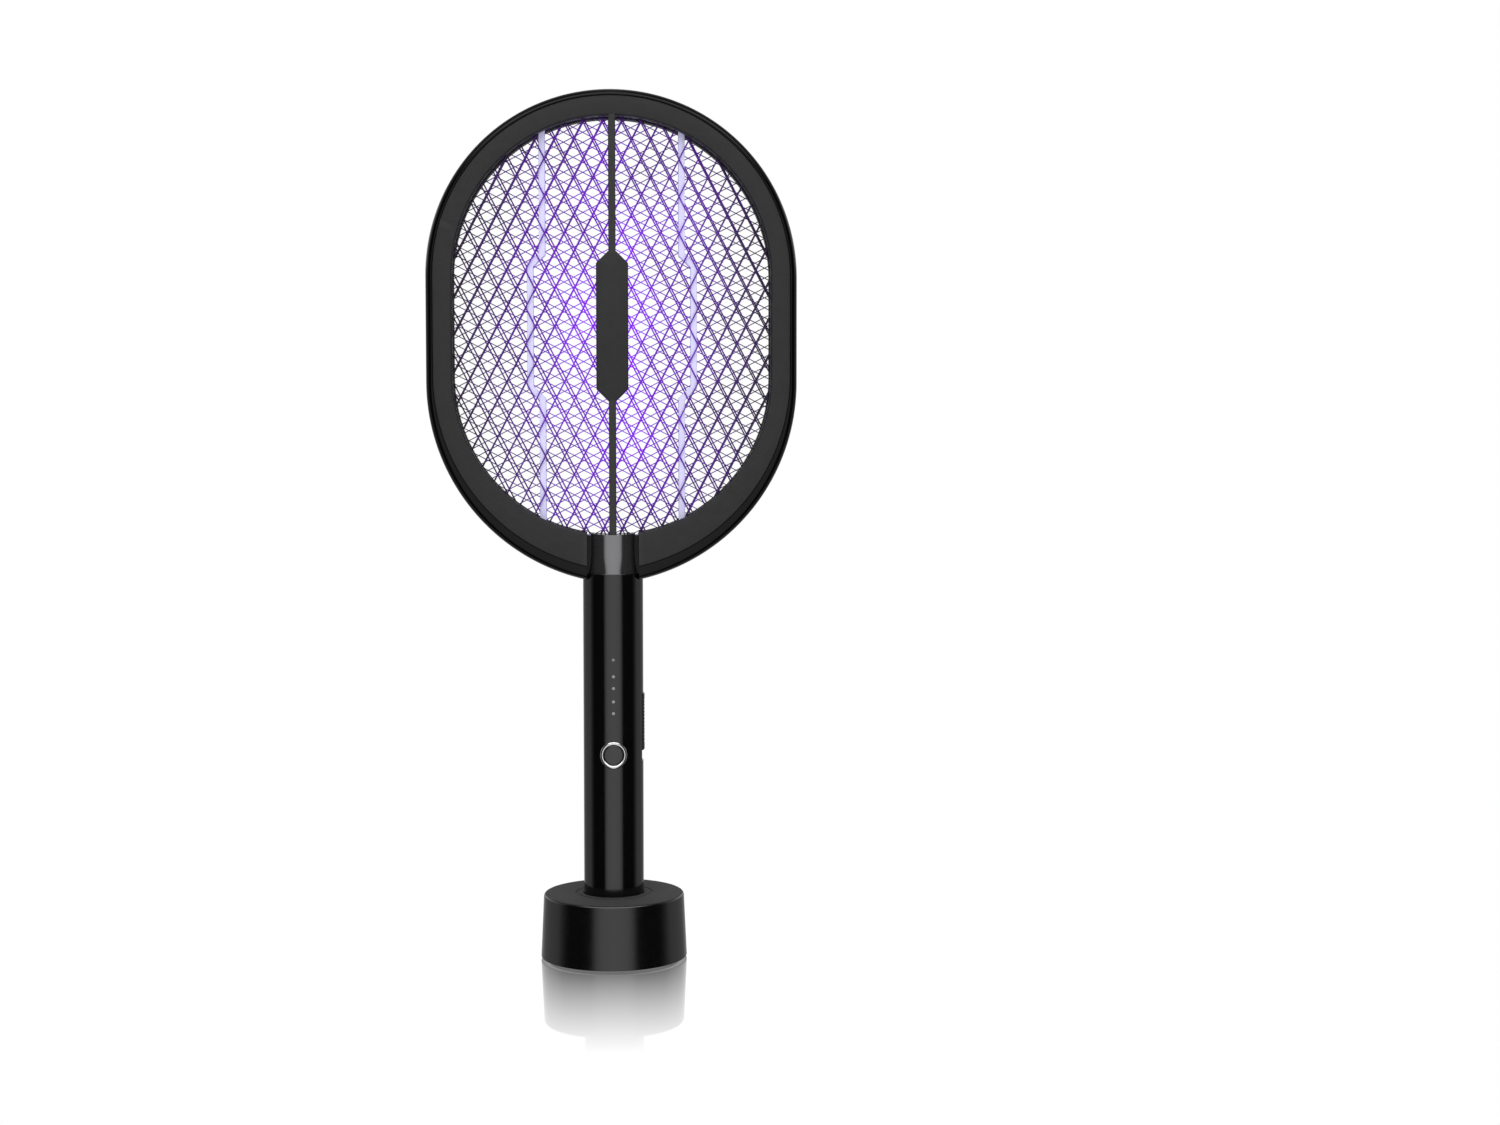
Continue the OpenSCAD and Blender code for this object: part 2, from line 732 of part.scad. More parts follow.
module end_cap() {
    color([0.04, 0.04, 0.045]) difference() {
        union() {
            translate([0, 0, socket_z]) cylinder(r1 = handle_r - 0.8, r2 = handle_r, h = 0.8);
            translate([0, 0, socket_z + 0.8]) cylinder(r = handle_r, h = 2.2);
            translate([0, 0, socket_z + 3]) cylinder(r = inner_r - 0.2, h = 7);
        }
        translate([0, 0, socket_z + 5]) cylinder(r = inner_r - 4, h = 10);
        translate([0, 0, 17.7]) rotate_extrude() translate([inner_r - 1.6, 0]) square([4, groove_h + 0.4]);
        translate([0, 0, socket_z - 1]) cylinder(d = 6, h = 2.8, $fn = 48);
        translate([0, 0, socket_z - 1]) difference() {
            cylinder(r = 8.4, h = 2.8);
            translate([0, 0, -1]) cylinder(r = 5.6, h = 5);
        }
        for (x = [-1.6, 1.6]) translate([x, 0, socket_z + 1]) cylinder(d = 1.6, h = 10, $fn = 24);
    }
}

module charge_contacts() {
    depth = 0.8;
    color([0.85, 0.7, 0.35]) translate([0, 0, socket_z + depth]) {
        cylinder(d = 5.8, h = 1, $fn = 48);
        difference() {
            cylinder(r = 8.3, h = 1);
            translate([0, 0, -1]) cylinder(r = 5.7, h = 3);
        }
    }
}

// ---- base ----

// The base's outside: a tapered drum whose top edge is an arc of radius edge_r
function base_side() = concat(
    [[0, skirt_z], [base_r, skirt_z]],
    [for (a = [0 : 15 : 90]) [base_top_r - edge_r + edge_r * cos(a), base_h - edge_r + edge_r * sin(a)]],
    [[0, base_h]]
);

module base_shell() {
    inside_r = base_top_r - 2.6;
    top_t = 2.8;
    color([0.03, 0.03, 0.035]) difference() {
        rotate_extrude() polygon(base_side());
        // Inside of the drum, around the socket
        difference() {
            translate([0, 0, -1]) cylinder(r = inside_r, h = base_h - top_t + 1);
            translate([0, 0, socket_z - 2]) cylinder(r = socket_r + 2.2, h = base_h);
            for (a = [45 : 90 : 315]) rotate(a) translate([base_screw_r, 0, plate_z + plate_t])
                cylinder(d = 5, h = base_h, $fn = 32);
        }
        translate([0, 0, socket_z]) cylinder(r = socket_r, h = base_h);
        translate([0, 0, base_h - 1.2]) cylinder(r = 23.2, h = 3);
        for (x = pin_xs) translate([x, 0, 5]) cylinder(d = 2.2, h = 10, $fn = 32);
        for (a = [45 : 90 : 315]) rotate(a) translate([base_screw_r, 0, 0])
            cylinder(d = 2.3, h = 14, $fn = 24);
        usb_hole(0.3, 10);
    }
}

// The USB inlet's rounded outline, drawn out by grow, along +Y
module usb_hole(grow, length) {
    r = usb_h / 2 + grow;
    for (x = [-1, 1]) translate([x * (usb_w - usb_h) / 2, base_r - 6, usb_z]) rotate([-90, 0, 0])
        cylinder(r = r, h = length, $fn = 32);
    translate([-(usb_w - usb_h) / 2, base_r - 6, usb_z - r]) cube([usb_w - usb_h, length, 2 * r]);
}

module socket_ring() {
    color([0.05, 0.05, 0.055]) translate([0, 0, base_h - 1.2]) difference() {
        union() {
            cylinder(r = 23, h = 1);
            cylinder(r = 21.4, h = 1.5);
        }
        translate([0, 0, -1]) cylinder(r = socket_r, h = 4);
    }
}

module ballast() {
    color([0.5, 0.5, 0.52]) translate([0, 0, plate_z + plate_t]) difference() {
        cylinder(r = 33.8, h = 18);
        translate([0, 0, -1]) cylinder(r = 24, h = 20);
        translate([-13, 0, -1]) cube([26, 50, 20]);
    }
}

module base_plate() {
    color([0.06, 0.06, 0.065]) translate([0, 0, plate_z]) difference() {
        cylinder(r = base_top_r - 2.8, h = plate_t);
        for (a = [45 : 90 : 315]) rotate(a) translate([base_screw_r, 0, -1]) {
            cylinder(d = 2.6, h = 5, $fn = 24);
            cylinder(d = 4.8, h = 2.6, $fn = 32);
        }
    }
}

module foot_ring() {
    color([0.08, 0.08, 0.08]) difference() {
        cylinder(r = 39.2, h = plate_z);
        translate([0, 0, -1]) cylinder(r = 32.2, h = 5);
    }
}

module base_screws() {
    color([0.6, 0.6, 0.62]) for (a = [45 : 90 : 315]) rotate(a) translate([base_screw_r, 0, plate_z + 1.6])
        rotate([180, 0, 0]) screw(4.4, 1.4, 2.2, 9);
}

module contact_block() {
    color([0.15, 0.15, 0.16]) difference() {
        translate([0, 0, plate_z + plate_t]) cylinder(r = 12, h = socket_z - 2 - plate_z - plate_t);
        for (x = pin_xs) translate([x, 0, spring_z]) cylinder(d = flange_d + 0.2, h = 10, $fn = 32);
    }
}

module contact_pins() {
    tip_z = socket_z + 0.78;
    color([0.85, 0.7, 0.35]) for (x = pin_xs) translate([x, 0, 0]) {
        translate([0, 0, flange_z]) cylinder(d = flange_d, h = flange_h, $fn = 32);
        translate([0, 0, flange_z]) cylinder(d = pin_d, h = tip_z - flange_z - 0.4, $fn = 32);
        translate([0, 0, tip_z - 0.4]) cylinder(d1 = pin_d, d2 = pin_d - 0.7, h = 0.4, $fn = 32);
    }
}

// A round-wire helix from z = 0 to z = height
module spring(d, wire_w, height, turns) {
    around = 12;
    sides = 6;
    steps = turns * around;
    function spot(i, j) = let (
        a = 360 * i / around,
        b = 360 * j / sides,
        r = d / 2 + wire_w / 2 * cos(b)
    ) [r * cos(a), r * sin(a), wire_w / 2 + (height - wire_w) * i / steps + wire_w / 2 * sin(b)];
    tube([for (i = [0 : steps], j = [0 : sides - 1]) spot(i, j)], sides);
}

module contact_springs() {
    color([0.7, 0.7, 0.72]) for (x = pin_xs) translate([x, 0, spring_z])
        spring(flange_d - 0.7, 0.4, flange_z - spring_z, 4);
}

module charge_board() {
    color([0.05, 0.3, 0.15]) translate([-11, 18, 6.6]) cube([22, 20, 1.6]);
}

module usb_inlet() {
    color([0.7, 0.7, 0.72]) difference() {
        usb_hole(0, 5.4);
        translate([0, 1, 0]) usb_hole(-0.3, 6);
    }
    color([0.1, 0.1, 0.1]) translate([-3, base_r - 5.1, usb_z - 0.35]) cube([6, 3.6, 0.7]);
}

module base_leads() {
    color([0.8, 0.1, 0.1]) for (x = [-2, 2]) translate([x, 11.9, 8.9]) rotate([-90, 0, 0])
        cylinder(d = wire_d, h = 14, $fn = 24);
}

head_front_shell();
head_rear_shell();
front_face_ring();
rear_face_ring();
front_net();
live_net();
rear_net();
front_spacer();
rear_spacer();
lamp_board();
uv_leds();
lamp_lenses();
lamp_screws();
lamp_leads();
live_lead();
ground_leads();
head_screws();
neck();
handle_front_shell();
handle_rear_shell();
handle_screws();
button_ring();
power_button();
power_switch();
power_plunger();
light_guide();
indicator_leds();
side_trigger();
trigger_switch();
trigger_plunger();
main_board();
board_screws();
lead_connector();
transformer_core();
transformer_winding();
capacitors();
diodes();
battery_cell();
cell_tabs();
cell_leads();
charge_leads();
end_cap();
charge_contacts();
base_shell();
socket_ring();
ballast();
base_plate();
foot_ring();
base_screws();
contact_block();
contact_pins();
contact_springs();
charge_board();
usb_inlet();
base_leads();
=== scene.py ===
"""Looks for the electric fly swatter in its charging base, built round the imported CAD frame.

The scene is in metres with +Z up; shapes are drawn in millimetres and scaled by solid().
"""

import json
import math

import bmesh
import bpy
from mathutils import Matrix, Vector


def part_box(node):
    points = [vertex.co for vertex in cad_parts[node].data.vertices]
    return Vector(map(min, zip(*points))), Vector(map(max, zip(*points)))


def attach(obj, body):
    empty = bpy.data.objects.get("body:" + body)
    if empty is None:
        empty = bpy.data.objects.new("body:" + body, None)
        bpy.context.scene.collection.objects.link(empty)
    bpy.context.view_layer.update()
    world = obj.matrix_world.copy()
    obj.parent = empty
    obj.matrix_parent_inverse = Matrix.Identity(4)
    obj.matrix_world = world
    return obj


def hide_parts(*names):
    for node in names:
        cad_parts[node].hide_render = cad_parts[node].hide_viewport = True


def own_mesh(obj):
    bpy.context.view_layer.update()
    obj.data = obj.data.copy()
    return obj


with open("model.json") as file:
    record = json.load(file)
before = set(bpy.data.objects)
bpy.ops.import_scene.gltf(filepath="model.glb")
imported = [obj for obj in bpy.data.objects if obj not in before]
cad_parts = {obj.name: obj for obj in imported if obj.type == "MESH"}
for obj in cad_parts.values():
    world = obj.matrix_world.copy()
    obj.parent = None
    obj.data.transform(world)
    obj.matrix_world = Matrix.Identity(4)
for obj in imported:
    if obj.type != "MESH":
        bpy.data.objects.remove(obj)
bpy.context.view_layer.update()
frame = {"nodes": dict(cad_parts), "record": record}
nodes = frame["nodes"]
MM = 0.001


# ---- camera, light and floor ----

CAMERA_PLACE = (0, -1.3, 0.308)
# In degrees; the object stands left of the picture's middle, as in the photograph.
LOOK_DOWN, LOOK_RIGHT = 3.04, 3.63


def make_camera():
    """The photograph's view, with the lens and aim fitted to the head, handle and base."""
    data = bpy.data.cameras.new("camera")
    data.lens = 51.9
    data.sensor_width = 36
    cam = bpy.data.objects.new("camera", data)
    bpy.context.scene.collection.objects.link(cam)
    cam.location = CAMERA_PLACE
    cam.rotation_euler = (math.radians(90 - LOOK_DOWN), 0, math.radians(-LOOK_RIGHT))
    bpy.context.scene.camera = cam


make_camera()
bpy.context.scene.view_settings.view_transform = "Standard"


class Graph:
    """Small helper that adds nodes to a node tree and joins them."""

    def __init__(self, tree):
        self.tree = tree
        tree.nodes.clear()

    def add(self, kind, inputs=None, **settings):
        made = self.tree.nodes.new("ShaderNode" + kind)
        for key, value in settings.items():
            setattr(made, key, value)
        for key, value in (inputs or {}).items():
            if isinstance(value, bpy.types.NodeSocket):
                self.tree.links.new(value, made.inputs[key])
            else:
                made.inputs[key].default_value = value
        return made

    def math(self, operation, a, b=0.0):
        return self.add("Math", {0: a, 1: b}, operation=operation).outputs[0]

    def span(self, value, low, high, to_low=0.0, to_high=1.0):
        """The value's place between low and high, clamped, as a number between to_low and to_high."""
        inputs = {"Value": value, "From Min": low, "From Max": high, "To Min": to_low, "To Max": to_high}
        return self.add("MapRange", inputs).outputs[0]

    def noise(self, at, scale, detail, **more):
        return self.add("TexNoise", {"Vector": at, "Scale": scale, "Detail": detail, **more}).outputs["Fac"]

    def mix(self, factor, a, b, blend="MIX"):
        return self.add("MixRGB", {"Fac": factor, "Color1": a, "Color2": b}, blend_type=blend).outputs[0]

    def surface(self, shader):
        self.add("OutputMaterial", {"Surface": shader})

    def ramp(self, factor, stops):
        """A linear colour ramp through (place, grey level) stops."""
        made = self.add("ValToRGB", {"Fac": factor})
        elements = made.color_ramp.elements
        while len(elements) < len(stops):
            elements.new(0.5)
        for element, (place, level) in zip(elements, stops):
            element.position = place
            element.color = (level, level, level, 1.0)
        return made.outputs["Color"]


# The studio in reflections: stops are (place, brightness). The azimuth runs from 0 in front to 1 behind, and
# height is the reflected ray's upward part, from 0 at the horizon to 1 overhead.
BANDS = [
    (0.0, 0.98), (0.12, 0.9), (0.165, 0.6), (0.205, 0.01), (0.44, 0.005), (0.5, 0.12),
    (0.56, 0.33), (0.68, 0.24), (0.80, 0.18), (1.0, 0.45),
]
BACKDROP_HEIGHT = [(0.0, 0.0), (0.075, 0.0), (0.13, 1.0), (0.34, 1.0), (0.45, 0.0), (1.0, 0.0)]
BACKDROP_AZIMUTH = [(0.0, 0.0), (0.5, 0.0), (0.62, 1.0), (1.0, 1.0)]
BACKDROP = (0.72, 0.72, 0.72, 1.0)
SOFTBOX_HEIGHT = [(0.0, 0.0), (0.56, 0.0), (0.64, 1.0), (0.82, 1.0), (0.9, 0.0), (1.0, 0.0)]
SOFTBOX_AZIMUTH = [(0.0, 1.0), (0.3, 1.0), (0.42, 0.0), (1.0, 0.0)]
SOFTBOX = (3.2, 3.2, 3.2, 1.0)
STUDIO_STRENGTH, SOFT_STRENGTH = 1.45, 0.95


def make_world():
    """White for the camera, an even soft light for matte surfaces, and a banded studio for reflections."""
    world = bpy.data.worlds.new("studio")
    world.use_nodes = True
    bpy.context.scene.world = world
    g = Graph(world.node_tree)
    way = g.add("TexCoord").outputs["Generated"]
    parts = g.add("SeparateXYZ", {0: way}).outputs
    front = g.math("MULTIPLY", parts["Y"], -1.0)
    azimuth = g.math("DIVIDE", g.math("ARCTAN2", g.math("ABSOLUTE", parts["X"]), front), math.pi)
    bands = g.ramp(azimuth, BANDS)
    backdrop = g.math("MULTIPLY", g.ramp(parts["Z"], BACKDROP_HEIGHT), g.ramp(azimuth, BACKDROP_AZIMUTH))
    softbox = g.math("MULTIPLY", g.ramp(parts["Z"], SOFTBOX_HEIGHT), g.ramp(azimuth, SOFTBOX_AZIMUTH))
    studio = g.mix(softbox, g.mix(backdrop, bands, BACKDROP), SOFTBOX)
    path = g.add("LightPath").outputs
    reflected = g.add("Background", {"Color": studio, "Strength": STUDIO_STRENGTH}).outputs[0]
    soft = g.add("Background", {"Color": (0.97, 0.97, 1.0, 1.0), "Strength": SOFT_STRENGTH}).outputs[0]
    seen = g.add("Background", {"Color": (1.0, 1.0, 1.0, 1.0), "Strength": 1.0}).outputs[0]
    bounced = g.add("MixShader", {0: path["Is Glossy Ray"], 1: soft, 2: reflected}).outputs[0]
    shown = g.add("MixShader", {0: path["Is Camera Ray"], 1: bounced, 2: seen}).outputs[0]
    g.add("OutputWorld", {"Surface": shown})


def area_light(name, place, target, energy):
    """A square light that is seen neither by the camera nor in reflections."""
    data = bpy.data.lights.new(name, "AREA")
    data.shape = "RECTANGLE"
    data.size = data.size_y = 1.2
    data.energy = energy
    lamp = bpy.data.objects.new(name, data)
    bpy.context.scene.collection.objects.link(lamp)
    lamp.location = place
    lamp.rotation_euler = (Vector(target) - Vector(place)).to_track_quat("-Z", "Y").to_euler()
    lamp.visible_camera = False
    lamp.visible_glossy = False


def new_object(name, mesh):
    made = bpy.data.objects.new(name, mesh)
    bpy.context.scene.collection.objects.link(made)
    return made


def make_floor():
    """A white floor, clear from below, that mirrors the base more faintly the further it lies from it."""
    half = 8.0
    corners = [(-half, -half, 0), (half, -half, 0), (half, half, 0), (-half, half, 0)]
    base_radius, mirror_end, mirror_share = 0.044, 0.21, 0.86
    mesh = bpy.data.meshes.new("floor")
    mesh.from_pydata(corners, [], [(0, 1, 2, 3)])
    floor = new_object("floor", mesh)
    floor.visible_glossy = False
    mat = bpy.data.materials.new("floor")
    mat.use_nodes = True
    g = Graph(mat.node_tree)
    at = g.add("TexCoord").outputs["Object"]
    reach = g.add("VectorMath", {0: at}, operation="LENGTH").outputs["Value"]
    fade = g.span(reach, base_radius, mirror_end, mirror_share, 0.0)
    white = g.add("Emission", {"Color": (1, 1, 1, 1), "Strength": 1.0}).outputs[0]
    mirror = g.add("BsdfGlossy", {"Color": (1, 1, 1, 1), "Roughness": 0.03}).outputs[0]
    above = g.add("MixShader", {0: fade, 1: white, 2: mirror}).outputs[0]
    below = g.add("BsdfTransparent").outputs[0]
    backfacing = g.add("NewGeometry").outputs["Backfacing"]
    g.surface(g.add("MixShader", {0: backfacing, 1: above, 2: below}).outputs[0])
    mesh.materials.append(mat)


make_world()
area_light("key", (-0.9, -1.5, 1.9), (0, 0, 0.2), 14)
area_light("fill", (1.2, -1.1, 1.2), (0, 0, 0.3), 6)
make_floor()


# ---- materials ----

def plastic(name, colour, rough=(0.1, 0.16), grain=0.0, grain_size=0.4, metallic=0.0, shade=0.15,
            wear=0.0, matte_and_sheen_top=None, **fixed):
    """A moulded or metal surface: colour that varies a little, smudges, fine grain and paler worn edges.

    rough is the roughness between and on the smudges. grain is the bump's strength and grain_size its size in
    millimetres. shade is how much the colour varies, and wear how far edges go towards their paler colour.
    A matte top, given as (height, colour, roughness), takes over above that height: its roughness is a matte
    finish, and its paler colour is a painted sheen that stands in for the top face's reflection. The rest goes
    to the shader.
    """
    smudge = 12.0 * MM
    mat = bpy.data.materials.new(name)
    mat.use_nodes = True
    g = Graph(mat.node_tree)
    at = g.add("TexCoord").outputs["Object"]
    tint = g.span(g.noise(at, 1 / smudge, 4.0, Roughness=0.6), 0.0, 1.0, 1 - shade, 1 + shade)
    base = g.mix(1.0, (*colour, 1), tint, "MULTIPLY")
    if wear:
        edge = g.add("NewGeometry").outputs["Pointiness"]
        paler = tuple(min(1.0, c * 2 + 0.03) for c in colour)
        base = g.mix(g.span(edge, 0.53, 0.6, 0.0, wear), base, (*paler, 1))
    dull = g.span(g.noise(at, 2.3 / smudge, 6.0), 0.3, 0.7, rough[0], rough[1])
    # Above the given height: a matte roughness, and a paler colour that is a painted sheen.
    if matte_and_sheen_top:
        height, top_sheen_colour, top_rough = matte_and_sheen_top
        level = g.add("SeparateXYZ", {0: at}).outputs["Z"]
        top = g.span(level, height - 0.0002, height)
        base = g.mix(top, base, (*top_sheen_colour, 1))
        below = g.math("MULTIPLY", dull, g.math("SUBTRACT", 1.0, top))
        dull = g.math("ADD", below, g.math("MULTIPLY", top, top_rough))
    inputs = {"Base Color": base, "Roughness": dull, "Metallic": metallic}
    if grain:
        size = grain_size * MM
        speck = g.noise(at, 1 / size, 3.0)
        bump = g.add("Bump", {"Strength": grain, "Distance": size * 0.2, "Height": speck})
        inputs["Normal"] = bump.outputs[0]
    inputs.update(fixed)
    g.surface(g.add("BsdfPrincipled", inputs).outputs[0])
    return mat


def wire_metal_painted_glow(name, colour, lamp_centre, opening, painted_glow):
    """Drawn steel wire, with a painted violet glow: emission on the wires near the lamp that stands in for the
    lamp's light falling on them.

    opening is the (half straight height, radius) of the oval that the painted glow stays inside.
    """
    mat = bpy.data.materials.new(name)
    mat.use_nodes = True
    g = Graph(mat.node_tree)
    at = g.add("TexCoord").outputs["Object"]
    cloud = g.noise(at, 900.0, 4.0)
    base = g.mix(1.0, (*colour, 1), g.span(cloud, 0.0, 1.0, 0.7, 1.3), "MULTIPLY")
    rough = g.span(cloud, 0.0, 1.0, 0.25, 0.5)
    grain = g.noise(at, 4000.0, 2.0)
    bump = g.add("Bump", {"Strength": 0.25, "Distance": 0.00005, "Height": grain}).outputs[0]

    # Painted glow: violet emission, strongest near the lamp, patchy, and kept inside the opening.
    off = g.add("VectorMath", {0: at, 1: lamp_centre}, operation="SUBTRACT").outputs[0]
    lamp_shape = (1.0, 0.0, 0.42)
    squeezed = g.add("VectorMath", {0: off, 1: lamp_shape}, operation="MULTIPLY").outputs[0]
    far = g.add("VectorMath", {0: squeezed}, operation="LENGTH").outputs["Value"]
    near = g.math("POWER", g.span(far, 0.004, 0.1, 1.0, 0.0), 1.6)
    patchy = g.span(g.noise(at, 28.0, 2.0), 0.3, 0.7, 0.45, 1.2)

    half_straight, open_r = opening
    flat = g.add("SeparateXYZ", {0: off}).outputs
    beyond = g.math("MAXIMUM", g.math("SUBTRACT", g.math("ABSOLUTE", flat["Z"]), half_straight), 0.0)
    squares = g.math("ADD", g.math("POWER", beyond, 2.0), g.math("MULTIPLY", flat["X"], flat["X"]))
    inside = g.span(g.math("SQRT", squares), open_r - 0.004, open_r, 1.0, 0.0)
    strength = g.math("MULTIPLY", g.math("MULTIPLY", g.math("MULTIPLY", near, patchy), inside), painted_glow)
    g.surface(g.add("BsdfPrincipled", {
        "Base Color": base, "Metallic": 0.35, "Roughness": rough, "Normal": bump,
        "Emission Color": (0.22, 0.0, 0.8, 1), "Emission Strength": strength,
    }).outputs[0])
    return mat


def net_opening():
    """The lamp's centre and the opening's (half straight height, radius), in metres."""
    lo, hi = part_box("live_net")
    return (0, 0, (lo.z + hi.z) / 2), ((hi.z - lo.z) / 2 - hi.x, hi.x - RIM_COVER * MM)


RIM_COVER = 4.5
BASE_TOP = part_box("base_shell")[1].z - 0.0002
looks = {
    "gloss_black": plastic("gloss_black", (0.0016, 0.0016, 0.0018), (0.08, 0.15), 0.03, 1.2, wear=0.1),
    "matte_charcoal": plastic("matte_charcoal", (0.0115, 0.0115, 0.012), (0.5, 0.6), 0.3, 0.25, wear=0.2,
                              **{"Specular IOR Level": 0.28}),
    # The net's faint violet colour is painted lamp light on grey steel.
    "net_steel": wire_metal_painted_glow("net_steel", (0.02, 0.012, 0.03), *net_opening(), 1.4),
    "milky_plastic": plastic("milky_plastic", (0.62, 0.6, 0.86), (0.35, 0.45), 0.1, 0.4, shade=0.05),
    "white_board": plastic("white_board", (0.6, 0.62, 0.6), (0.25, 0.35), 0.1, 0.3, shade=0.05),
    "uv_led": plastic("uv_led", (0.5, 0.3, 0.9), (0.2, 0.3), shade=0.05,
                      **{"Emission Color": (0.25, 0.04, 1.0, 1), "Emission Strength": 8.0}),
    "violet_lens": plastic("violet_lens", (0.35, 0.12, 0.9), (0.08, 0.14), shade=0.05,
                           **{"Emission Color": (0.28, 0.05, 1.0, 1), "Emission Strength": 3.0}),
    "screw_steel": plastic("screw_steel", (0.45, 0.45, 0.47), (0.2, 0.4), 0.1, 0.15, metallic=1.0),
    "red_wire": plastic("red_wire", (0.5, 0.03, 0.02), (0.35, 0.45), 0.1, 0.2),
    "black_wire": plastic("black_wire", (0.02, 0.02, 0.02), (0.35, 0.45), 0.1, 0.2),
    "neck_gunmetal": plastic("neck_gunmetal", (0.15, 0.15, 0.155), (0.07, 0.12), 0.02, 1.0,
                             metallic=0.88, shade=0.05),
    "chrome_ring": plastic("chrome_ring", (0.5, 0.5, 0.51), (0.08, 0.16), metallic=1.0, shade=0.05),
    "button_black": plastic("button_black", (0.009, 0.009, 0.01), (0.22, 0.32), 0.15, 0.25, wear=0.3),
    "switch_black": plastic("switch_black", (0.02, 0.02, 0.02), (0.4, 0.5), 0.2, 0.2),
    "clear_guide": plastic("clear_guide", (0.2, 0.21, 0.23), (0.15, 0.25), shade=0.05),
    "led_white": plastic("led_white", (0.85, 0.85, 0.75), (0.25, 0.35), shade=0.05),
    "green_board": plastic("green_board", (0.01, 0.12, 0.04), (0.25, 0.35), 0.1, 0.3),
    "ferrite": plastic("ferrite", (0.04, 0.04, 0.045), (0.45, 0.6), 0.3, 0.2),
    "copper": plastic("copper", (0.55, 0.2, 0.08), (0.25, 0.4), 0.2, 0.3, metallic=1.0),
    "capacitor_red": plastic("capacitor_red", (0.45, 0.03, 0.02), (0.2, 0.3), 0.1, 0.5),
    "cell_blue": plastic("cell_blue", (0.02, 0.12, 0.4), (0.2, 0.35), 0.1, 0.6),
    "nickel": plastic("nickel", (0.6, 0.6, 0.57), (0.18, 0.3), 0.05, 0.2, metallic=1.0, shade=0.05),
    "contact_gold": plastic("contact_gold", (0.8, 0.6, 0.22), (0.15, 0.28), 0.05, 0.2,
                            metallic=1.0, shade=0.05),
    "ballast_iron": plastic("ballast_iron", (0.25, 0.25, 0.26), (0.4, 0.6), 0.4, 0.5, metallic=1.0),
    "base_plate_black": plastic("base_plate_black", (0.02, 0.02, 0.022), (0.45, 0.55), 0.35, 0.3),
    "foot_rubber": plastic("foot_rubber", (0.03, 0.03, 0.03), (0.7, 0.85), 0.4, 0.4),
}
# The base's satin black: its top face is matte, with a paler colour that is a painted sheen.
satin_black = plastic("satin_black", (0.0018, 0.0018, 0.002), (0.17, 0.23), 0.03, 1.2, wear=0.1,
                      matte_and_sheen_top=(BASE_TOP, (0.022, 0.022, 0.023), 0.9))
deep_black = plastic("deep_black", (0.0014, 0.0014, 0.0016), (0.1, 0.16), 0.03, 1.2, wear=0.08,
                     **{"Specular IOR Level": 0.12})
for entry in frame["record"]["subparts"]:
    slots = nodes[entry["node"]].data.materials
    slots.clear()
    slots.append(looks[entry["material_slot"]])


# ---- shapes, drawn in millimetres ----

def box_mm(node):
    """The lowest and highest corner of a CAD node."""
    lo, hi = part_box(node)
    return lo / MM, hi / MM


net_lo, net_hi = box_mm("live_net")
shell_lo, shell_hi = box_mm("head_front_shell")
handle_lo, handle_hi = box_mm("handle_rear_shell")
base_lo, base_hi = box_mm("base_shell")

# The head is a stack of loops round one oval. Radii are measured from its two centres, which lie HALF above and
# below the head's middle; depths are measured from its middle plane.
RIM_R = net_hi.x
OPEN_R = RIM_R - RIM_COVER
HALF = (net_hi.z - net_lo.z) / 2 - RIM_R
HEAD_Z = (net_lo.z + net_hi.z) / 2
FRAME_R = shell_hi.x
HALF_T = -shell_lo.y
RING_R = box_mm("front_face_ring")[1].x
FRAME_LOW = HALF + 3.9
TAPER = 10.2
SEAM_Z = handle_hi.z
HANDLE_R = handle_hi.y
FACE_D = HALF_T - 0.6
SEAT_D = FACE_D - 3
GUARD_FACE = 5.2
RIM_W = 3.3
NET_D, NET_T = 4.5, 0.7
SPACER_LOW, SPACER_HIGH = NET_T, NET_D - NET_T
SPINE_W = 4.3
NECK_W = 31
SCREW_HEAD_R, SCREW_R = 2.5, 1.4


def arc_points(cx, cy, r, start, end, steps):
    """Points on an arc, its angles in degrees."""
    angles = [math.radians(start + (end - start) * i / steps) for i in range(steps + 1)]
    return [(cx + r * math.cos(a), cy + r * math.sin(a)) for a in angles]


def rounded(corners, steps=4):
    """A closed polygon from (x, y, radius) corners, each corner turned into an arc."""
    out = []
    for i, (x, y, r) in enumerate(corners):
        here = Vector((x, y))
        if not r:
            out.append((x, y))
            continue
        before = (Vector(corners[i - 1][:2]) - here).normalized()
        after = (Vector(corners[(i + 1) % len(corners)][:2]) - here).normalized()
        half = before.angle(after) / 2
        centre = here + (before + after).normalized() * (r / math.sin(half))
        start = here + before * (r / math.tan(half)) - centre
        end = here + after * (r / math.tan(half)) - centre
        a = math.atan2(start.y, start.x)
        turn = (math.atan2(end.y, end.x) - a + math.pi) % (2 * math.pi) - math.pi
        for s in range(steps + 1):
            t = a + turn * s / steps
            out.append((centre.x + r * math.cos(t), centre.y + r * math.sin(t)))
    return out


def skin(rings, wrap=False, caps=True):
    """Vertices and faces through rings of points; wrap joins the last ring to the first."""
    count = len(rings[0])
    verts = [p for ring in rings for p in ring]
    faces = []
    for i in range(len(rings) if wrap else len(rings) - 1):
        a, b = i * count, (i + 1) % len(rings) * count
        for j in range(count):
            k = (j + 1) % count
            faces.append((a + j, a + k, b + k, b + j))
    if caps and not wrap:
        faces.append(tuple(range(count)))
        faces.append(tuple(reversed(range((len(rings) - 1) * count, len(rings) * count))))
    return verts, faces


def joined(*solids):
    """Several (vertices, faces) as one."""
    verts, faces = [], []
    for some_verts, some_faces in solids:
        start = len(verts)
        verts.extend(some_verts)
        faces.extend(tuple(start + i for i in face) for face in some_faces)
    return verts, faces


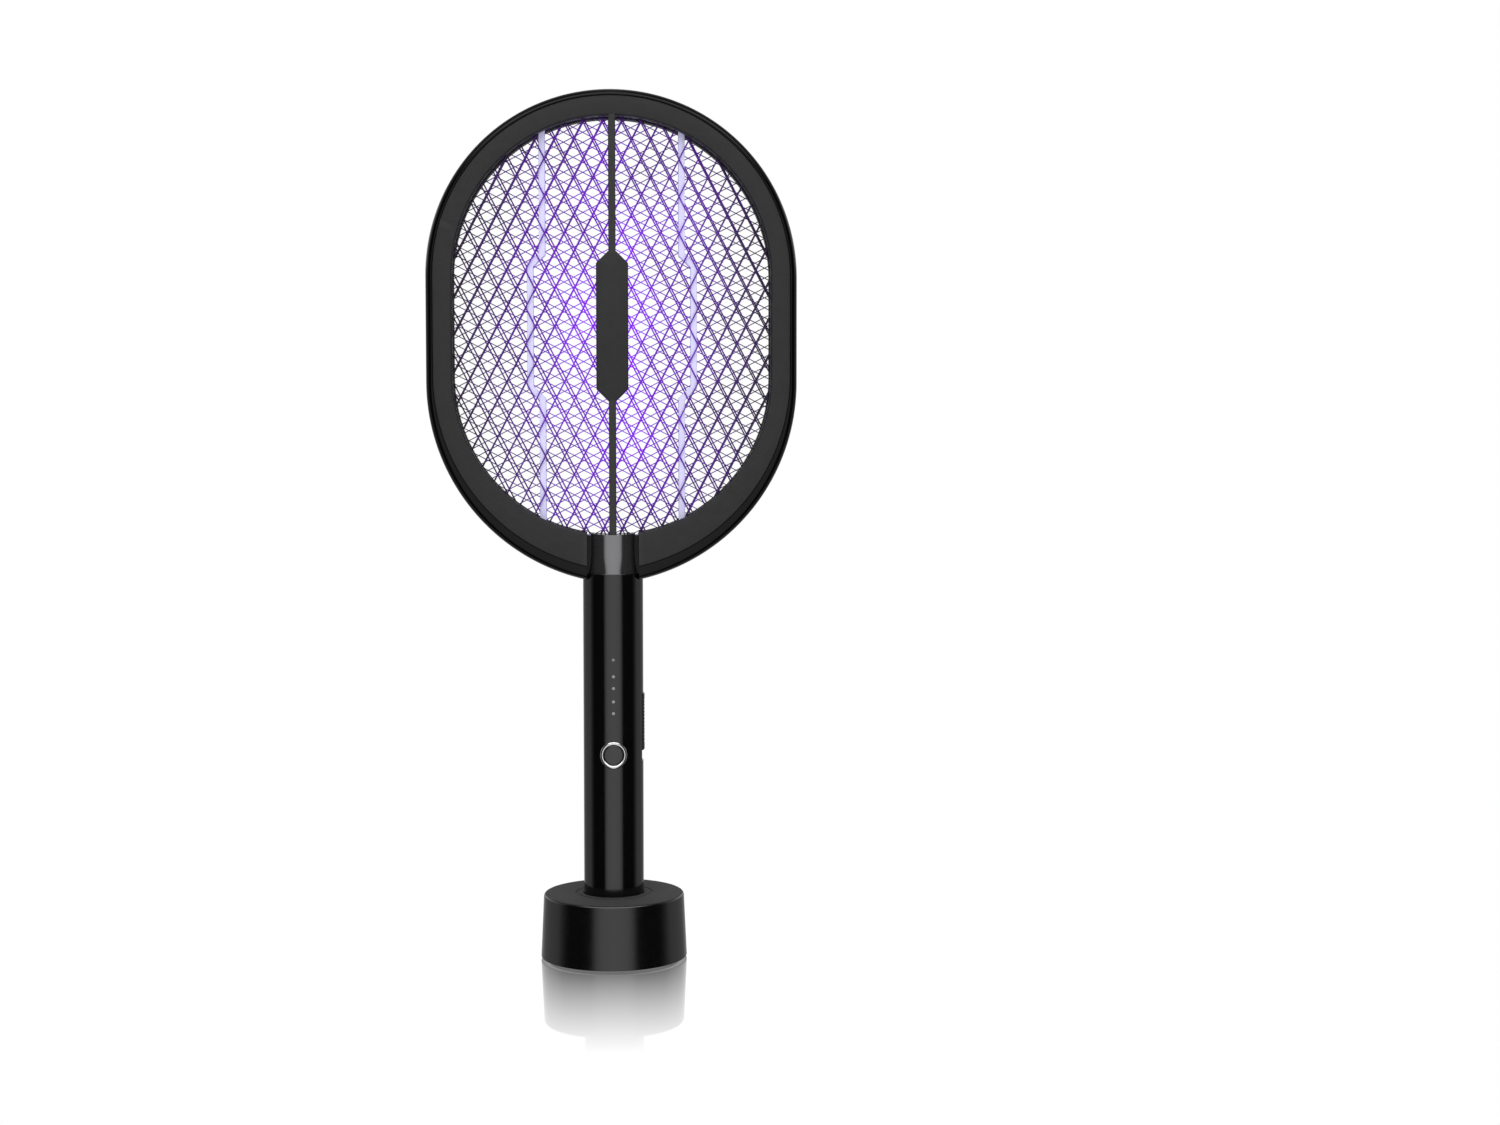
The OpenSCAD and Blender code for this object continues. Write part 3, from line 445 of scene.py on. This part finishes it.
def solid(name, verts, faces):
    """An object from millimetre geometry, with doubles merged and its faces turned outwards."""
    mesh = bpy.data.meshes.new(name)
    mesh.from_pydata([Vector(v) * MM for v in verts], [], faces)
    bm = bmesh.new()
    bm.from_mesh(mesh)
    bmesh.ops.remove_doubles(bm, verts=bm.verts, dist=1e-7)
    bmesh.ops.recalc_face_normals(bm, faces=bm.faces)
    bm.to_mesh(mesh)
    bm.free()
    return new_object(name, mesh)


def cut(obj, *cutters):
    """Takes the cutters out of obj, applies the result and removes them."""
    for cutter in cutters:
        tool = obj.modifiers.new("cut", "BOOLEAN")
        tool.operation = "DIFFERENCE"
        tool.solver = "EXACT"
        tool.object = cutter
    bpy.context.view_layer.update()
    result = bpy.data.meshes.new_from_object(obj.evaluated_get(bpy.context.evaluated_depsgraph_get()))
    obj.modifiers.clear()
    obj.data = result
    for cutter in cutters:
        bpy.data.objects.remove(cutter)
    return obj


def dress(obj, body, slot, *replaced, sharp=32, look=None):
    """Smooth shading with sharp edges, the slot's material or its variant, and the place in the frame."""
    bm = bmesh.new()
    bm.from_mesh(obj.data)
    bmesh.ops.remove_doubles(bm, verts=bm.verts, dist=1e-7)
    bmesh.ops.dissolve_degenerate(bm, edges=bm.edges, dist=1e-8)
    for face in bm.faces:
        face.smooth = True
    for edge in bm.edges:
        edge.smooth = edge.is_manifold and edge.calc_face_angle(0) < math.radians(sharp)
    bm.to_mesh(obj.data)
    bm.free()
    obj.data.materials.clear()
    obj.data.materials.append(look or looks[slot])
    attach(obj, body)
    if replaced:
        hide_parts(*replaced)
    return obj


def turned(profile, steps=128, start=(0, 0, 0), axis="Z"):
    """A closed (radius, height) profile turned round an axis; Y points from front to back."""
    rings = []
    for i in range(steps):
        a = 2 * math.pi * i / steps
        ring = []
        for r, h in profile:
            x, y, z = r * math.cos(a), r * math.sin(a), h
            if axis == "Y":
                y, z = z, -y
            elif axis == "X":
                x, z = z, -x
            ring.append((start[0] + x, start[1] + y, start[2] + z))
        rings.append(ring)
    return skin(rings, wrap=True)


def rod(start, r, length, axis="Z", steps=48):
    """A round cutter that starts at a point and runs along an axis."""
    verts, faces = turned([(0, 0), (r, 0), (r, length), (0, length)], steps, start, axis)
    return solid("cutter", verts, faces)


def block(lo, hi):
    """A cutter box between two corners."""
    ring = [(lo[0], lo[1]), (hi[0], lo[1]), (hi[0], hi[1]), (lo[0], hi[1])]
    return solid("cutter", *skin([[(x, y, z) for x, y in ring] for z in (lo[2], hi[2])]))


# ---- head ----

TOP_STEPS, SIDE_STEPS, LOW_STEPS = 96, 8, 44


def head_loop(r, low=None, taper=0.0):
    """The head's outline (or, without a taper, the opening's) as a loop of (across, up) points."""
    low = HALF if low is None else low
    reach = r + taper
    last = 360 - math.degrees(math.acos(-taper / reach))
    left = arc_points(taper, -low, reach, 180, last, LOW_STEPS)
    rise = [-low + (HALF + low) * i / SIDE_STEPS for i in range(1, SIDE_STEPS)]
    points = arc_points(0, HALF, r, 0, 180, TOP_STEPS)
    points += [(-r, v) for v in reversed(rise)]
    points += left
    points += [(-x, v) for x, v in reversed(left[:-1])]
    return points + [(r, v) for v in rise]


def in_head(points, depth, side=1):
    """Stands flat head work up; depth runs to the front, or to the back with side -1."""
    return [(x, -side * depth, HEAD_Z + v) for x, v in points]


def neck_skin(grow=0.0, steps=192):
    """The neck's outside from the tenon up: a smooth flare that ends in a section with a flattened front."""
    levels = [(15.8, -14.8, 0.0), (15.8, 0.0, 0.0), (16.0, 0.0, 0.0)]
    for i in range(17):
        t = i / 16
        levels.append((14 + 2 * (1 - t) ** 1.6, 0.2 + 12 * t, t * t * (3 - 2 * t)))
    levels.append((14, 32, 1.0))
    rings = []
    for r, z, flat in levels:
        power = 2 / (2 + 0.3 * flat)
        ring = []
        for i in range(steps):
            a = 2 * math.pi * i / steps
            c, s = math.cos(a), math.sin(a)
            x, y = math.copysign(abs(c) ** power, c), math.copysign(abs(s) ** power, s)
            ring.append(((r + grow) * x, (r + grow) * y, SEAM_Z + z))
        rings.append(ring)
    return skin(rings)


def shell_half(name, node, side):
    """One glossy half of the head's frame: its rounded edge, the face ring's seat and the rim's step."""
    rings = [in_head(head_loop(FRAME_R - 0.25, FRAME_LOW, TAPER), 0.0, side)]
    rings.append(in_head(head_loop(FRAME_R, FRAME_LOW, TAPER), 0.25, side))
    for i in range(13):
        t = math.radians(90 * i / 12)
        inset, depth = 4.0 * (1 - math.cos(t)), HALF_T - 6.5 + 6.5 * math.sin(t)
        rings.append(in_head(head_loop(FRAME_R - inset, FRAME_LOW, TAPER), depth, side))
    seat_r = RING_R + 0.05
    rings.append(in_head(head_loop(seat_r, HALF, TAPER), HALF_T - 0.05, side))
    rings.append(in_head(head_loop(seat_r, HALF, TAPER), SEAT_D, side))
    rings.append(in_head(head_loop(OPEN_R + 1.75), SEAT_D, side))
    rings.append(in_head(head_loop(OPEN_R + 1.75), GUARD_FACE, side))
    rings.append(in_head(head_loop(RIM_R + 0.15), GUARD_FACE, side))
    rings.append(in_head(head_loop(RIM_R + 0.15), 0.0, side))
    shell = solid(name, *skin(rings, wrap=True))
    near, far = sorted((-side * 7, -side * 40))
    slot = block((-NECK_W / 2, near, 150), (NECK_W / 2, far, HEAD_Z - 100))
    neck = solid("cutter", *neck_skin(0.15, 96))
    grip = rod((0, 0, SEAM_Z - 20), HANDLE_R + 0.2, 20.01, steps=96)
    cut(shell, slot, neck, grip)
    return dress(shell, "swatter", "gloss_black", node, look=deep_black)


def housing_outline(inset):
    """The lamp housing's eight sides, drawn in by inset on every side."""
    half_h, corner = 44, 7.0
    x, y = box_mm("lamp_lenses")[1].x + 0.1 - inset, half_h - inset
    c = corner - 0.586 * inset
    right = [(x, c - y), (x, y - c), (x - c, y)]
    left = [(c - x, y), (-x, y - c), (-x, c - y)]
    return right[1:] + left + [(c - x, -y), (x - c, -y)] + right[:1]


def bar_outline(half_w, low, high, inset):
    """An upright bar's outline, its sides drawn in by inset."""
    x = half_w - inset
    return [(x, high), (-x, high), (-x, low), (x, low)]


def raised(outline, back, front, side, edge=0.7, steps=4):
    """A solid over a flat outline(inset), with its front edge rounded."""
    rings = [in_head(outline(0), back, side)]
    for i in range(steps + 1):
        t = math.radians(90 * i / steps)
        rings.append(in_head(outline(edge * (1 - math.cos(t))), front - edge + edge * math.sin(t), side))
    return skin(rings)


def ring_holes():
    """The places of the eight screws round the rear ring, as (across, up)."""
    r = 102.6
    spots = []
    for centre, angles in ((HALF, (20, 65, 115, 160)), (-HALF, (-20, -62, -118, -160))):
        for a in angles:
            spots.append((r * math.cos(math.radians(a)), centre + r * math.sin(math.radians(a))))
    return spots


def face_ring(name, node, side):
    """The matte ring and its lining, open for the neck, with the spine and the lamp's housing across it."""
    rings = [in_head(head_loop(RING_R, HALF, TAPER), SEAT_D, side)]
    edge = 0.7
    for i in range(5):
        t = math.radians(90 * i / 4)
        loop = head_loop(RING_R - edge * (1 - math.cos(t)), HALF, TAPER)
        rings.append(in_head(loop, FACE_D - edge + edge * math.sin(t), side))
    for i in range(5):
        t = math.radians(90 * i / 4)
        loop = head_loop(OPEN_R + 1.0 * (1 - math.sin(t)))
        rings.append(in_head(loop, FACE_D - 1.0 + 1.0 * math.cos(t), side))
    rings.append(in_head(head_loop(OPEN_R), GUARD_FACE, side))
    rings.append(in_head(head_loop(OPEN_R + 1.6), GUARD_FACE, side))
    rings.append(in_head(head_loop(OPEN_R + 1.6), SEAT_D, side))
    ring = solid(name, *skin(rings, wrap=True))
    near, far = sorted((0.0, -side * 40))
    cutters = [block((-NECK_W / 2, near, 150), (NECK_W / 2, far, HEAD_Z - 100))]
    if side < 0:
        for x, v in ring_holes():
            cutters.append(rod((x, FACE_D - 1.6, HEAD_Z + v), SCREW_HEAD_R, 6, "Y", 32))
            cutters.append(rod((x, 0, HEAD_Z + v), SCREW_R, 12, "Y", 24))
    cut(ring, *cutters)
    top = HALF + OPEN_R + 0.8

    def spine_outline(inset):
        return bar_outline(SPINE_W / 2, 1 - top - 1.6, top, inset)

    spine = raised(spine_outline, GUARD_FACE + 0.2, FACE_D - 0.2, side, 0.6)
    housing = raised(housing_outline, GUARD_FACE + 0.2, FACE_D, side, 1.0)
    cross = solid("cross", *joined(spine, housing))
    bm = bmesh.new()
    bm.from_mesh(ring.data)
    bm.from_mesh(cross.data)
    bm.to_mesh(ring.data)
    bm.free()
    bpy.data.objects.remove(cross)
    return dress(ring, "swatter", "matte_charcoal", node)


def inside_oval(x, v, r):
    """Whether a flat point lies within the oval of radius r."""
    return math.hypot(x, max(0.0, abs(v) - HALF)) <= r


def wire_span(point, way, r):
    """Where a line through a point crosses the oval of radius r, or None."""
    steps = [s for s in range(-160, 161, 4) if inside_oval(point.x + s * way.x, point.y + s * way.y, r)]
    if not steps:
        return None
    middle = point + way * steps[len(steps) // 2]

    def end(sign):
        low, high = 0.0, 400.0
        for _ in range(40):
            mid = (low + high) / 2
            spot = middle + way * (sign * mid)
            low, high = (mid, high) if inside_oval(spot.x, spot.y, r) else (low, mid)
        return middle + way * (sign * low)

    return end(-1), end(1)


def wire_layer(lean, pitch, half_w, half_t, depth, shift):
    """Parallel round wires, clipped to the rim."""
    way = Vector((math.cos(lean), math.sin(lean)))
    across = Vector((-way.y, way.x))
    solids = []
    for i in range(-45, 46):
        span = wire_span(across * (i * pitch) + Vector(shift), way, RIM_R - 1)
        if span is None:
            continue
        rings = []
        for end in span:
            ring = []
            for j in range(8):
                a = 2 * math.pi * (j + 0.5) / 8
                spot = end + across * (half_w * math.cos(a))
                ring.append((spot.x, -depth - half_t * math.sin(a), HEAD_Z + spot.y))
            rings.append(ring)
        solids.append(skin(rings))
    return solids


def rim_section(low, high):
    """The rounded section, as (radius, depth), of the flat rims that the nets and spacers share."""
    inner = RIM_R - RIM_W
    return rounded([(RIM_R, low, 0.3), (RIM_R, high, 0.3), (inner, high, 0.3), (inner, low, 0.3)], 2)


def wire_net(name, node, middle, open_h, wire_w, shift):
    """Two layers of round wires, welded face to face, in a flat rim with rounded edges.

    middle is the net's depth, open_h the diamonds' height and shift how far the pattern is moved.
    """
    open_w, half_t = 11.4, NET_T / 2
    lean = math.atan2(open_h, open_w)
    pitch = open_w * math.sin(lean)
    solids = wire_layer(lean, pitch, wire_w / 2, half_t, middle + half_t, shift)
    solids += wire_layer(-lean, pitch, wire_w / 2, half_t, middle - half_t, shift)
    section = rim_section(middle - NET_T, middle + NET_T)
    solids.append(skin([in_head(head_loop(r), d) for r, d in section], wrap=True))
    return dress(solid(name, *joined(*solids)), "swatter", "net_steel", node, sharp=50)


def strip(route, half_w, low, high, side):
    """A bar with rounded edges along flat points, mitred at each bend."""
    rings = []
    points = [Vector(p) for p in route]
    for i, here in enumerate(points):
        before = (here - points[i - 1]).normalized() if i else (points[1] - here).normalized()
        after = (points[i + 1] - here).normalized() if i < len(points) - 1 else before
        side_way = Vector((-(before + after).y, (before + after).x)).normalized()
        stretch = 1 / max(0.5, Vector((-before.y, before.x)).dot(side_way))
        corners = [(half_w, low), (half_w, high), (-half_w, high), (-half_w, low)]
        section = rounded([(w, d, 0.5) for w, d in corners], 3)
        ring = []
        for w, d in section:
            spot = here + side_way * (w * stretch)
            ring.append((spot.x, -side * d, HEAD_Z + spot.y))
        rings.append(ring)
    return skin(rings)


def spacer(name, node, side):
    """The milky frame between two nets, with two ribs that step outwards beside the lamp."""
    section = rim_section(SPACER_LOW, SPACER_HIGH)
    solids = [skin([in_head(head_loop(r), d, side) for r, d in section], wrap=True)]
    near_x, far_x, step_high, step_low, half_w = 41.4, 48.6, 43.1, 36.1, 1.9
    end = HALF + math.sqrt((RIM_R - 1) ** 2 - near_x ** 2) - 1
    for way in (-1, 1):
        route = [(near_x * way, end), (near_x * way, step_high), (far_x * way, step_low)]
        route += [(x, -v) for x, v in reversed(route)]
        solids.append(strip(route, half_w, SPACER_LOW, SPACER_HIGH, side))
    return dress(solid(name, *joined(*solids)), "swatter", "milky_plastic", node)


shell_half("front_shell", "head_front_shell", 1)
shell_half("rear_shell", "head_rear_shell", -1)
face_ring("front_face", "front_face_ring", 1)
face_ring("rear_face", "rear_face_ring", -1)
wire_net("front_guard_net", "front_net", NET_D, 22, 0.9, (0, 0))
wire_net("middle_live_net", "live_net", 0, 5.9, 0.6, (0, 0))
wire_net("rear_guard_net", "rear_net", -NET_D, 22, 0.9, (0.85, 2.1))
spacer("front_spacer_frame", "front_spacer", 1)
spacer("rear_spacer_frame", "rear_spacer", -1)


def neck():
    """The neck: a smooth flare, its top cut to the opening's curve, with notches for the two spines."""
    body = solid("neck_body", *neck_skin())
    opening = solid("cutter", *skin([in_head(head_loop(OPEN_R), d) for d in (-40, 40)]))
    seat = solid("cutter", *skin([in_head(head_loop(RIM_R + 0.15), d) for d in (-5.3, 5.3)]))
    cutters = [opening, seat]
    for side in (-1, 1):
        ys = sorted((side * (GUARD_FACE - 0.15), side * (FACE_D + 0.15)))
        cutters.append(block((-2.3, ys[0], SEAM_Z + 18.3), (2.3, ys[1], SEAM_Z + 25.7)))
    cut(body, *cutters)
    return dress(body, "swatter", "neck_gunmetal", "neck")


neck()


# ---- handle ----

def half_tube(side):
    """One half of the handle's tube as loops up its length, with a fine chamfer along the seam."""
    low, high = handle_lo.z, handle_hi.z
    levels = [(low, 0.25), (low + 0.08, 0.08), (low + 0.25, 0.0)]
    count = 34
    levels += [(low + (high - low) * i / count, 0.0) for i in range(1, count)]
    levels += [(high - 0.35, 0.0), (high - 0.1, 0.1), (high, 0.35)]
    rings = []
    for z, inset in levels:
        r = HANDLE_R - inset
        outer = arc_points(0, 0, r, 0.5, 179.5, 96)
        inner = arc_points(0, 0, HANDLE_R - 2, 180, 0, 48)
        loop = [(r - 0.12, 0.0)] + outer + [(0.12 - r, 0.0)] + inner
        rings.append([(x, side * y, z) for x, y in loop])
    return skin(rings)


def trigger_cutters():
    """The trigger's slot in the tube's wall, and the shallow finger groove below it."""
    lo, hi = box_mm("side_trigger")
    low, high, half_w = lo.z + 1 - 0.3, hi.z - 1 + 0.3, hi.y - 1 + 0.2
    return [
        block((10, -half_w, low), (30, half_w, high)),
        block((HANDLE_R - 0.9, -half_w, 120), (30, half_w, low + 1)),
    ]


LIGHT_Z = (150, 157, 165, 172, 182)
BUTTON_Z = sum(c.z for c in box_mm("power_button")) / 2


def handle_front():
    shell = solid("handle_front", *half_tube(-1))
    button_hole_r, light_hole_r = 8.2, 1.08
    cutters = [rod((0, -30, BUTTON_Z), button_hole_r, 20, "Y", 96)]
    cutters += [rod((0, -30, z), light_hole_r, 20, "Y", 32) for z in LIGHT_Z]
    cut(shell, *cutters, *trigger_cutters())
    return dress(shell, "swatter", "gloss_black", "handle_front_shell")


def handle_rear():
    shell = solid("handle_rear", *half_tube(1))
    cutters = []
    for x in (-11, 11):
        for z in (101, 211):
            cutters.append(rod((x, 9, z), SCREW_HEAD_R, 20, "Y", 32))
    cut(shell, *cutters, *trigger_cutters())
    return dress(shell, "swatter", "gloss_black", "handle_rear_shell")


def on_handle(rings, r, steps=96):
    """Rings of (distance from the button's axis, drop below radius r, or a fixed y) on the handle's curve."""
    loops = []
    for rho, drop, fixed in rings:
        loop = []
        for i in range(steps):
            a = 2 * math.pi * i / steps
            x, z = rho * math.cos(a), rho * math.sin(a)
            y = fixed if fixed is not None else drop - math.sqrt(r * r - x * x)
            loop.append((x, y, BUTTON_Z + z))
        loops.append(loop)
    return loops


def chrome_ring():
    """The half-round ring that the power button sits in."""
    middle_r, half_w, rise = 7.125, 0.975, 0.7
    section = [(middle_r - half_w, 0, -12.0)]
    for i in range(13):
        t = math.pi * i / 12
        section.append((middle_r - half_w * math.cos(t), rise * (1 - math.sin(t)), None))
    section.append((8.1, 0, -12.4))
    loops = on_handle(section, HANDLE_R + 0.35)
    return dress(solid("chrome_bezel", *skin(loops, wrap=True)), "swatter", "chrome_ring", "button_ring")


def button_cap():
    flat_r, dish = 5.4, 0.35
    rings = [(5.95, 0, -11.8), (5.95, 0.5, None), (5.88, 0.25, None), (5.7, 0.08, None), (flat_r, 0.0, None)]
    for i in range(1, 12):
        part = 1 - i / 12
        rings.append((flat_r * part, dish * (1 - part ** 2), None))
    rings.append((0.0, dish, None))
    steps = 96
    loops = on_handle(rings, HANDLE_R - 0.1, steps)
    verts, faces = skin(loops, caps=False)
    faces.append(tuple(range(steps)))
    return dress(solid("button_cap", verts, faces), "power_button", "button_black", "power_button", sharp=50)


def disc_at(rho, y, z):
    """A circle of 24 points round the light at height z."""
    angles = [math.radians(a) for a in range(0, 360, 15)]
    return [(rho * math.cos(a), y, z + rho * math.sin(a)) for a in angles]


def guide_pips():
    """Five clear lens pips flush with the handle, on the guide bar behind it; the top one is a small bolt."""
    r, seat_y = HANDLE_R + 0.03, -15.2
    bolt = [(0.15, 1.0), (-0.62, -0.12), (-0.08, -0.12), (-0.2, -1.0), (0.62, 0.14), (0.08, 0.14)]
    solids = []
    for z in LIGHT_Z[:-1]:
        steps = ((1.0, seat_y), (1.0, -r + 0.2), (0.85, -r + 0.05), (0.45, -r))
        solids.append(skin([disc_at(rho, y, z) for rho, y in steps]))
    top = LIGHT_Z[-1]
    solids.append(skin([disc_at(1.0, y, top) for y in (seat_y, -r + 0.5)]))
    solids.append(skin([[(x, y, top + z) for x, z in bolt] for y in (-r + 0.6, -r)]))
    lo, hi = box_mm("light_guide")
    bar = rounded([(x, z, 0.6) for x, z in ((2.2, lo.z), (2.2, hi.z), (-2.2, hi.z), (-2.2, lo.z))], 3)
    solids.append(skin([[(x, y, z) for x, z in bar] for y in (-14.2, -15.4)]))
    return dress(solid("guide_lenses", *joined(*solids)), "swatter", "clear_guide", "light_guide")


def trigger():
    """The side trigger: a curved bar with rounded edges and fine finger ribs, on its flange and stem."""
    lo, hi = box_mm("side_trigger")
    low, high, half_w = lo.z + 1, hi.z - 1, hi.y - 1
    across, along = 24, 140
    edge, rib_depth, rib_pitch, plain = 1.0, 0.28, 2.1, 4

    def drop(distance):
        return 0.0 if distance >= edge else edge - math.sqrt(max(0.0, edge ** 2 - (edge - distance) ** 2))

    grid = []
    for i in range(along + 1):
        t = i / along
        z = low + (high - low) * t
        row = []
        for j in range(across + 1):
            y = -half_w + 2 * half_w * j / across
            sunk = drop(min(z - low, high - z)) + drop(min(y + half_w, half_w - y)) * 0.8
            rib = 0.0
            if plain < z - low < high - low - plain and abs(y) < half_w - 1.4:
                rib = rib_depth * (0.5 - 0.5 * math.cos(2 * math.pi * (z - low - plain) / rib_pitch)) ** 2
            row.append((math.sqrt(hi.x ** 2 - y * y) - sunk - rib, y, z))
        grid.append(row)
    verts = [p for row in grid for p in row]
    width = across + 1
    faces = [(i * width + j, i * width + j + 1, (i + 1) * width + j + 1, (i + 1) * width + j)
             for i in range(along) for j in range(across)]
    border = list(range(width))
    border += [i * width + across for i in range(1, along + 1)]
    border += [along * width + j for j in range(across - 1, -1, -1)]
    border += [i * width for i in range(along - 1, 0, -1)]
    start = len(verts)
    verts += [(13.6, verts[k][1], verts[k][2]) for k in border]
    for n in range(len(border)):
        m = (n + 1) % len(border)
        faces.append((border[n], border[m], start + m, start + n))
    faces.append(tuple(range(start, start + len(border))))
    flange_corners = [(hi.y, lo.z), (hi.y, hi.z), (-hi.y, hi.z), (-hi.y, lo.z)]
    flange_ring = rounded([(y, z, 0.8) for y, z in flange_corners], 3)
    flange = skin([[(x, y, z) for y, z in flange_ring] for x in (12.9, 14.1)])
    middle = (low + high) / 2
    stem = turned([(0, 0), (1.2, 0), (1.5, 0.3), (1.5, 3.4), (0, 3.4)], 32, (lo.x, -0.9, middle), "X")
    piece = solid("trigger_bar", *joined((verts, faces), flange, stem))
    return dress(piece, "side_trigger", "button_black", "side_trigger", sharp=40)


handle_front()
handle_rear()
chrome_ring()
button_cap()
guide_pips()
trigger()


def end_cap():
    """The handle's foot, with a recess for the middle contact and a groove for the ring round it."""
    z = box_mm("end_cap")[0].z
    deep, lip, top = z + 1.8, z + 3, z + 10
    dot_r, groove_in, groove_out, plug_r = 3, 5.6, 8.4, 15.8
    corners = [
        (0, deep, 0), (dot_r, deep, 0), (dot_r, z, 0.2),
        (groove_in, z, 0.2), (groove_in, deep, 0), (groove_out, deep, 0), (groove_out, z, 0.2),
        (HANDLE_R, z, 0.8), (HANDLE_R, lip, 0.25), (plug_r, lip, 0), (plug_r, top, 0.3), (0, top, 0),
    ]
    piece = solid("end_plug", *turned(rounded(corners, 5), 128))
    return dress(piece, "swatter", "gloss_black", "end_cap")


def contact_pads():
    """The charging contacts at the handle's foot, a dot and a ring that suit any turn of the handle."""
    lo, hi = box_mm("charge_contacts")
    dot = rounded([(0, lo.z, 0), (2.9, lo.z, 0.25), (2.9, hi.z, 0), (0, hi.z, 0)], 4)
    ring = rounded([(5.7, lo.z, 0.25), (8.3, lo.z, 0.25), (8.3, hi.z, 0), (5.7, hi.z, 0)], 4)
    piece = solid("contact_rings", *joined(turned(dot, 64), turned(ring, 96)))
    return dress(piece, "swatter", "contact_gold", "charge_contacts")


end_cap()
contact_pads()


# ---- base ----

SOCKET_R = HANDLE_R + 0.3
COLLAR_R, COLLAR_SEAT = 23, 1.2
PIN_X = (0, 7)


def base_drum():
    """The drum with its rounded top edge, the collar's seat, the socket, and the pins' and inlet's holes."""
    bottom_r, low, top_z = base_hi.x, base_lo.z, base_hi.z
    top_r = bottom_r - 1.8
    seat_r, seat_z = COLLAR_R + 0.2, top_z - COLLAR_SEAT
    socket_z, under_z, lid_z = 12.0, 10.0, top_z - 2.8
    tube_r, wall_r = SOCKET_R + 2.2, top_r - 2.6
    corners = [
        (bottom_r, low, 0.4), (top_r, top_z, 1.8), (seat_r, top_z, 0.3), (seat_r, seat_z, 0),
        (SOCKET_R, seat_z, 0), (SOCKET_R, socket_z, 0.5), (0, socket_z, 0), (0, under_z, 0),
        (tube_r, under_z, 0), (tube_r, lid_z, 0), (wall_r, lid_z, 0), (wall_r, low, 0.3),
    ]
    drum = solid("base_drum", *turned(rounded(corners, 10), 192))
    cutters = [rod((x, 0, 5), 1.1, 10, "Z", 32) for x in PIN_X]
    inlet_half, inlet_r, inlet_z = (8.94 - 3.2) / 2, 1.9, 10
    slot = []
    for x, first in ((inlet_half, -90), (-inlet_half, 90)):
        for degrees in range(first, first + 181, 15):
            a = math.radians(degrees)
            slot.append((x + inlet_r * math.cos(a), inlet_z + inlet_r * math.sin(a)))
    inlet = skin([[(x, y, z) for x, z in slot] for y in (bottom_r - 6, bottom_r + 4)])
    cutters.append(solid("cutter", *inlet))
    cut(drum, *cutters)
    return dress(drum, "base", "gloss_black", "base_shell", look=satin_black)


def socket_rings():
    """The stepped collar round the socket."""
    z = base_hi.z - COLLAR_SEAT
    step_r, step_z, top_z = 21.4, z + 1, z + 1.5
    corners = [
        (SOCKET_R, z, 0), (COLLAR_R, z, 0), (COLLAR_R, step_z, 0.3),
        (step_r, step_z, 0), (step_r, top_z, 0.4), (SOCKET_R, top_z, 0.5),
    ]
    collar = solid("socket_collar", *turned(rounded(corners, 5), 160))
    return dress(collar, "base", "gloss_black", "socket_ring", look=satin_black)


def foot():
    """The rubber ring that the base stands on."""
    inner, hi = 32.2, box_mm("foot_ring")[1]
    corners = [(inner, 0, 0.6), (hi.x, 0, 0.6), (hi.x, hi.z, 0), (inner, hi.z, 0)]
    return dress(solid("rubber_foot", *turned(rounded(corners, 4), 128)), "base", "foot_rubber", "foot_ring")


def pin_springs():
    """The two coil springs under the contact pins, with closed end turns."""
    lo, hi = box_mm("contact_springs")
    wire_r, gap, turns, around, sides = 0.2, 0.02, 5, 24, 8
    coil_r = PIN_X[0] - lo.x - wire_r
    low, high = lo.z + wire_r, hi.z - wire_r - gap
    solids = []
    for x in PIN_X:
        rings = []
        for i in range(turns * around + 1):
            t = i / (turns * around)
            a = 2 * math.pi * turns * t
            rise = min(1.0, max(0.0, (t * turns - 0.6) / (turns - 1.2)))
            z = low + (high - low) * rise * rise * (3 - 2 * rise)
            ring = []
            for j in range(sides):
                b = 2 * math.pi * j / sides
                r = coil_r + wire_r * math.cos(b)
                ring.append((x + r * math.cos(a), r * math.sin(a), z + wire_r * math.sin(b)))
            rings.append(ring)
        solids.append(skin(rings))
    springs = dress(solid("pin_springs", *joined(*solids)), "base", "nickel", "contact_springs", sharp=60)
    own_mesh(springs)
    return springs


base_drum()
socket_rings()
foot()
pin_springs()
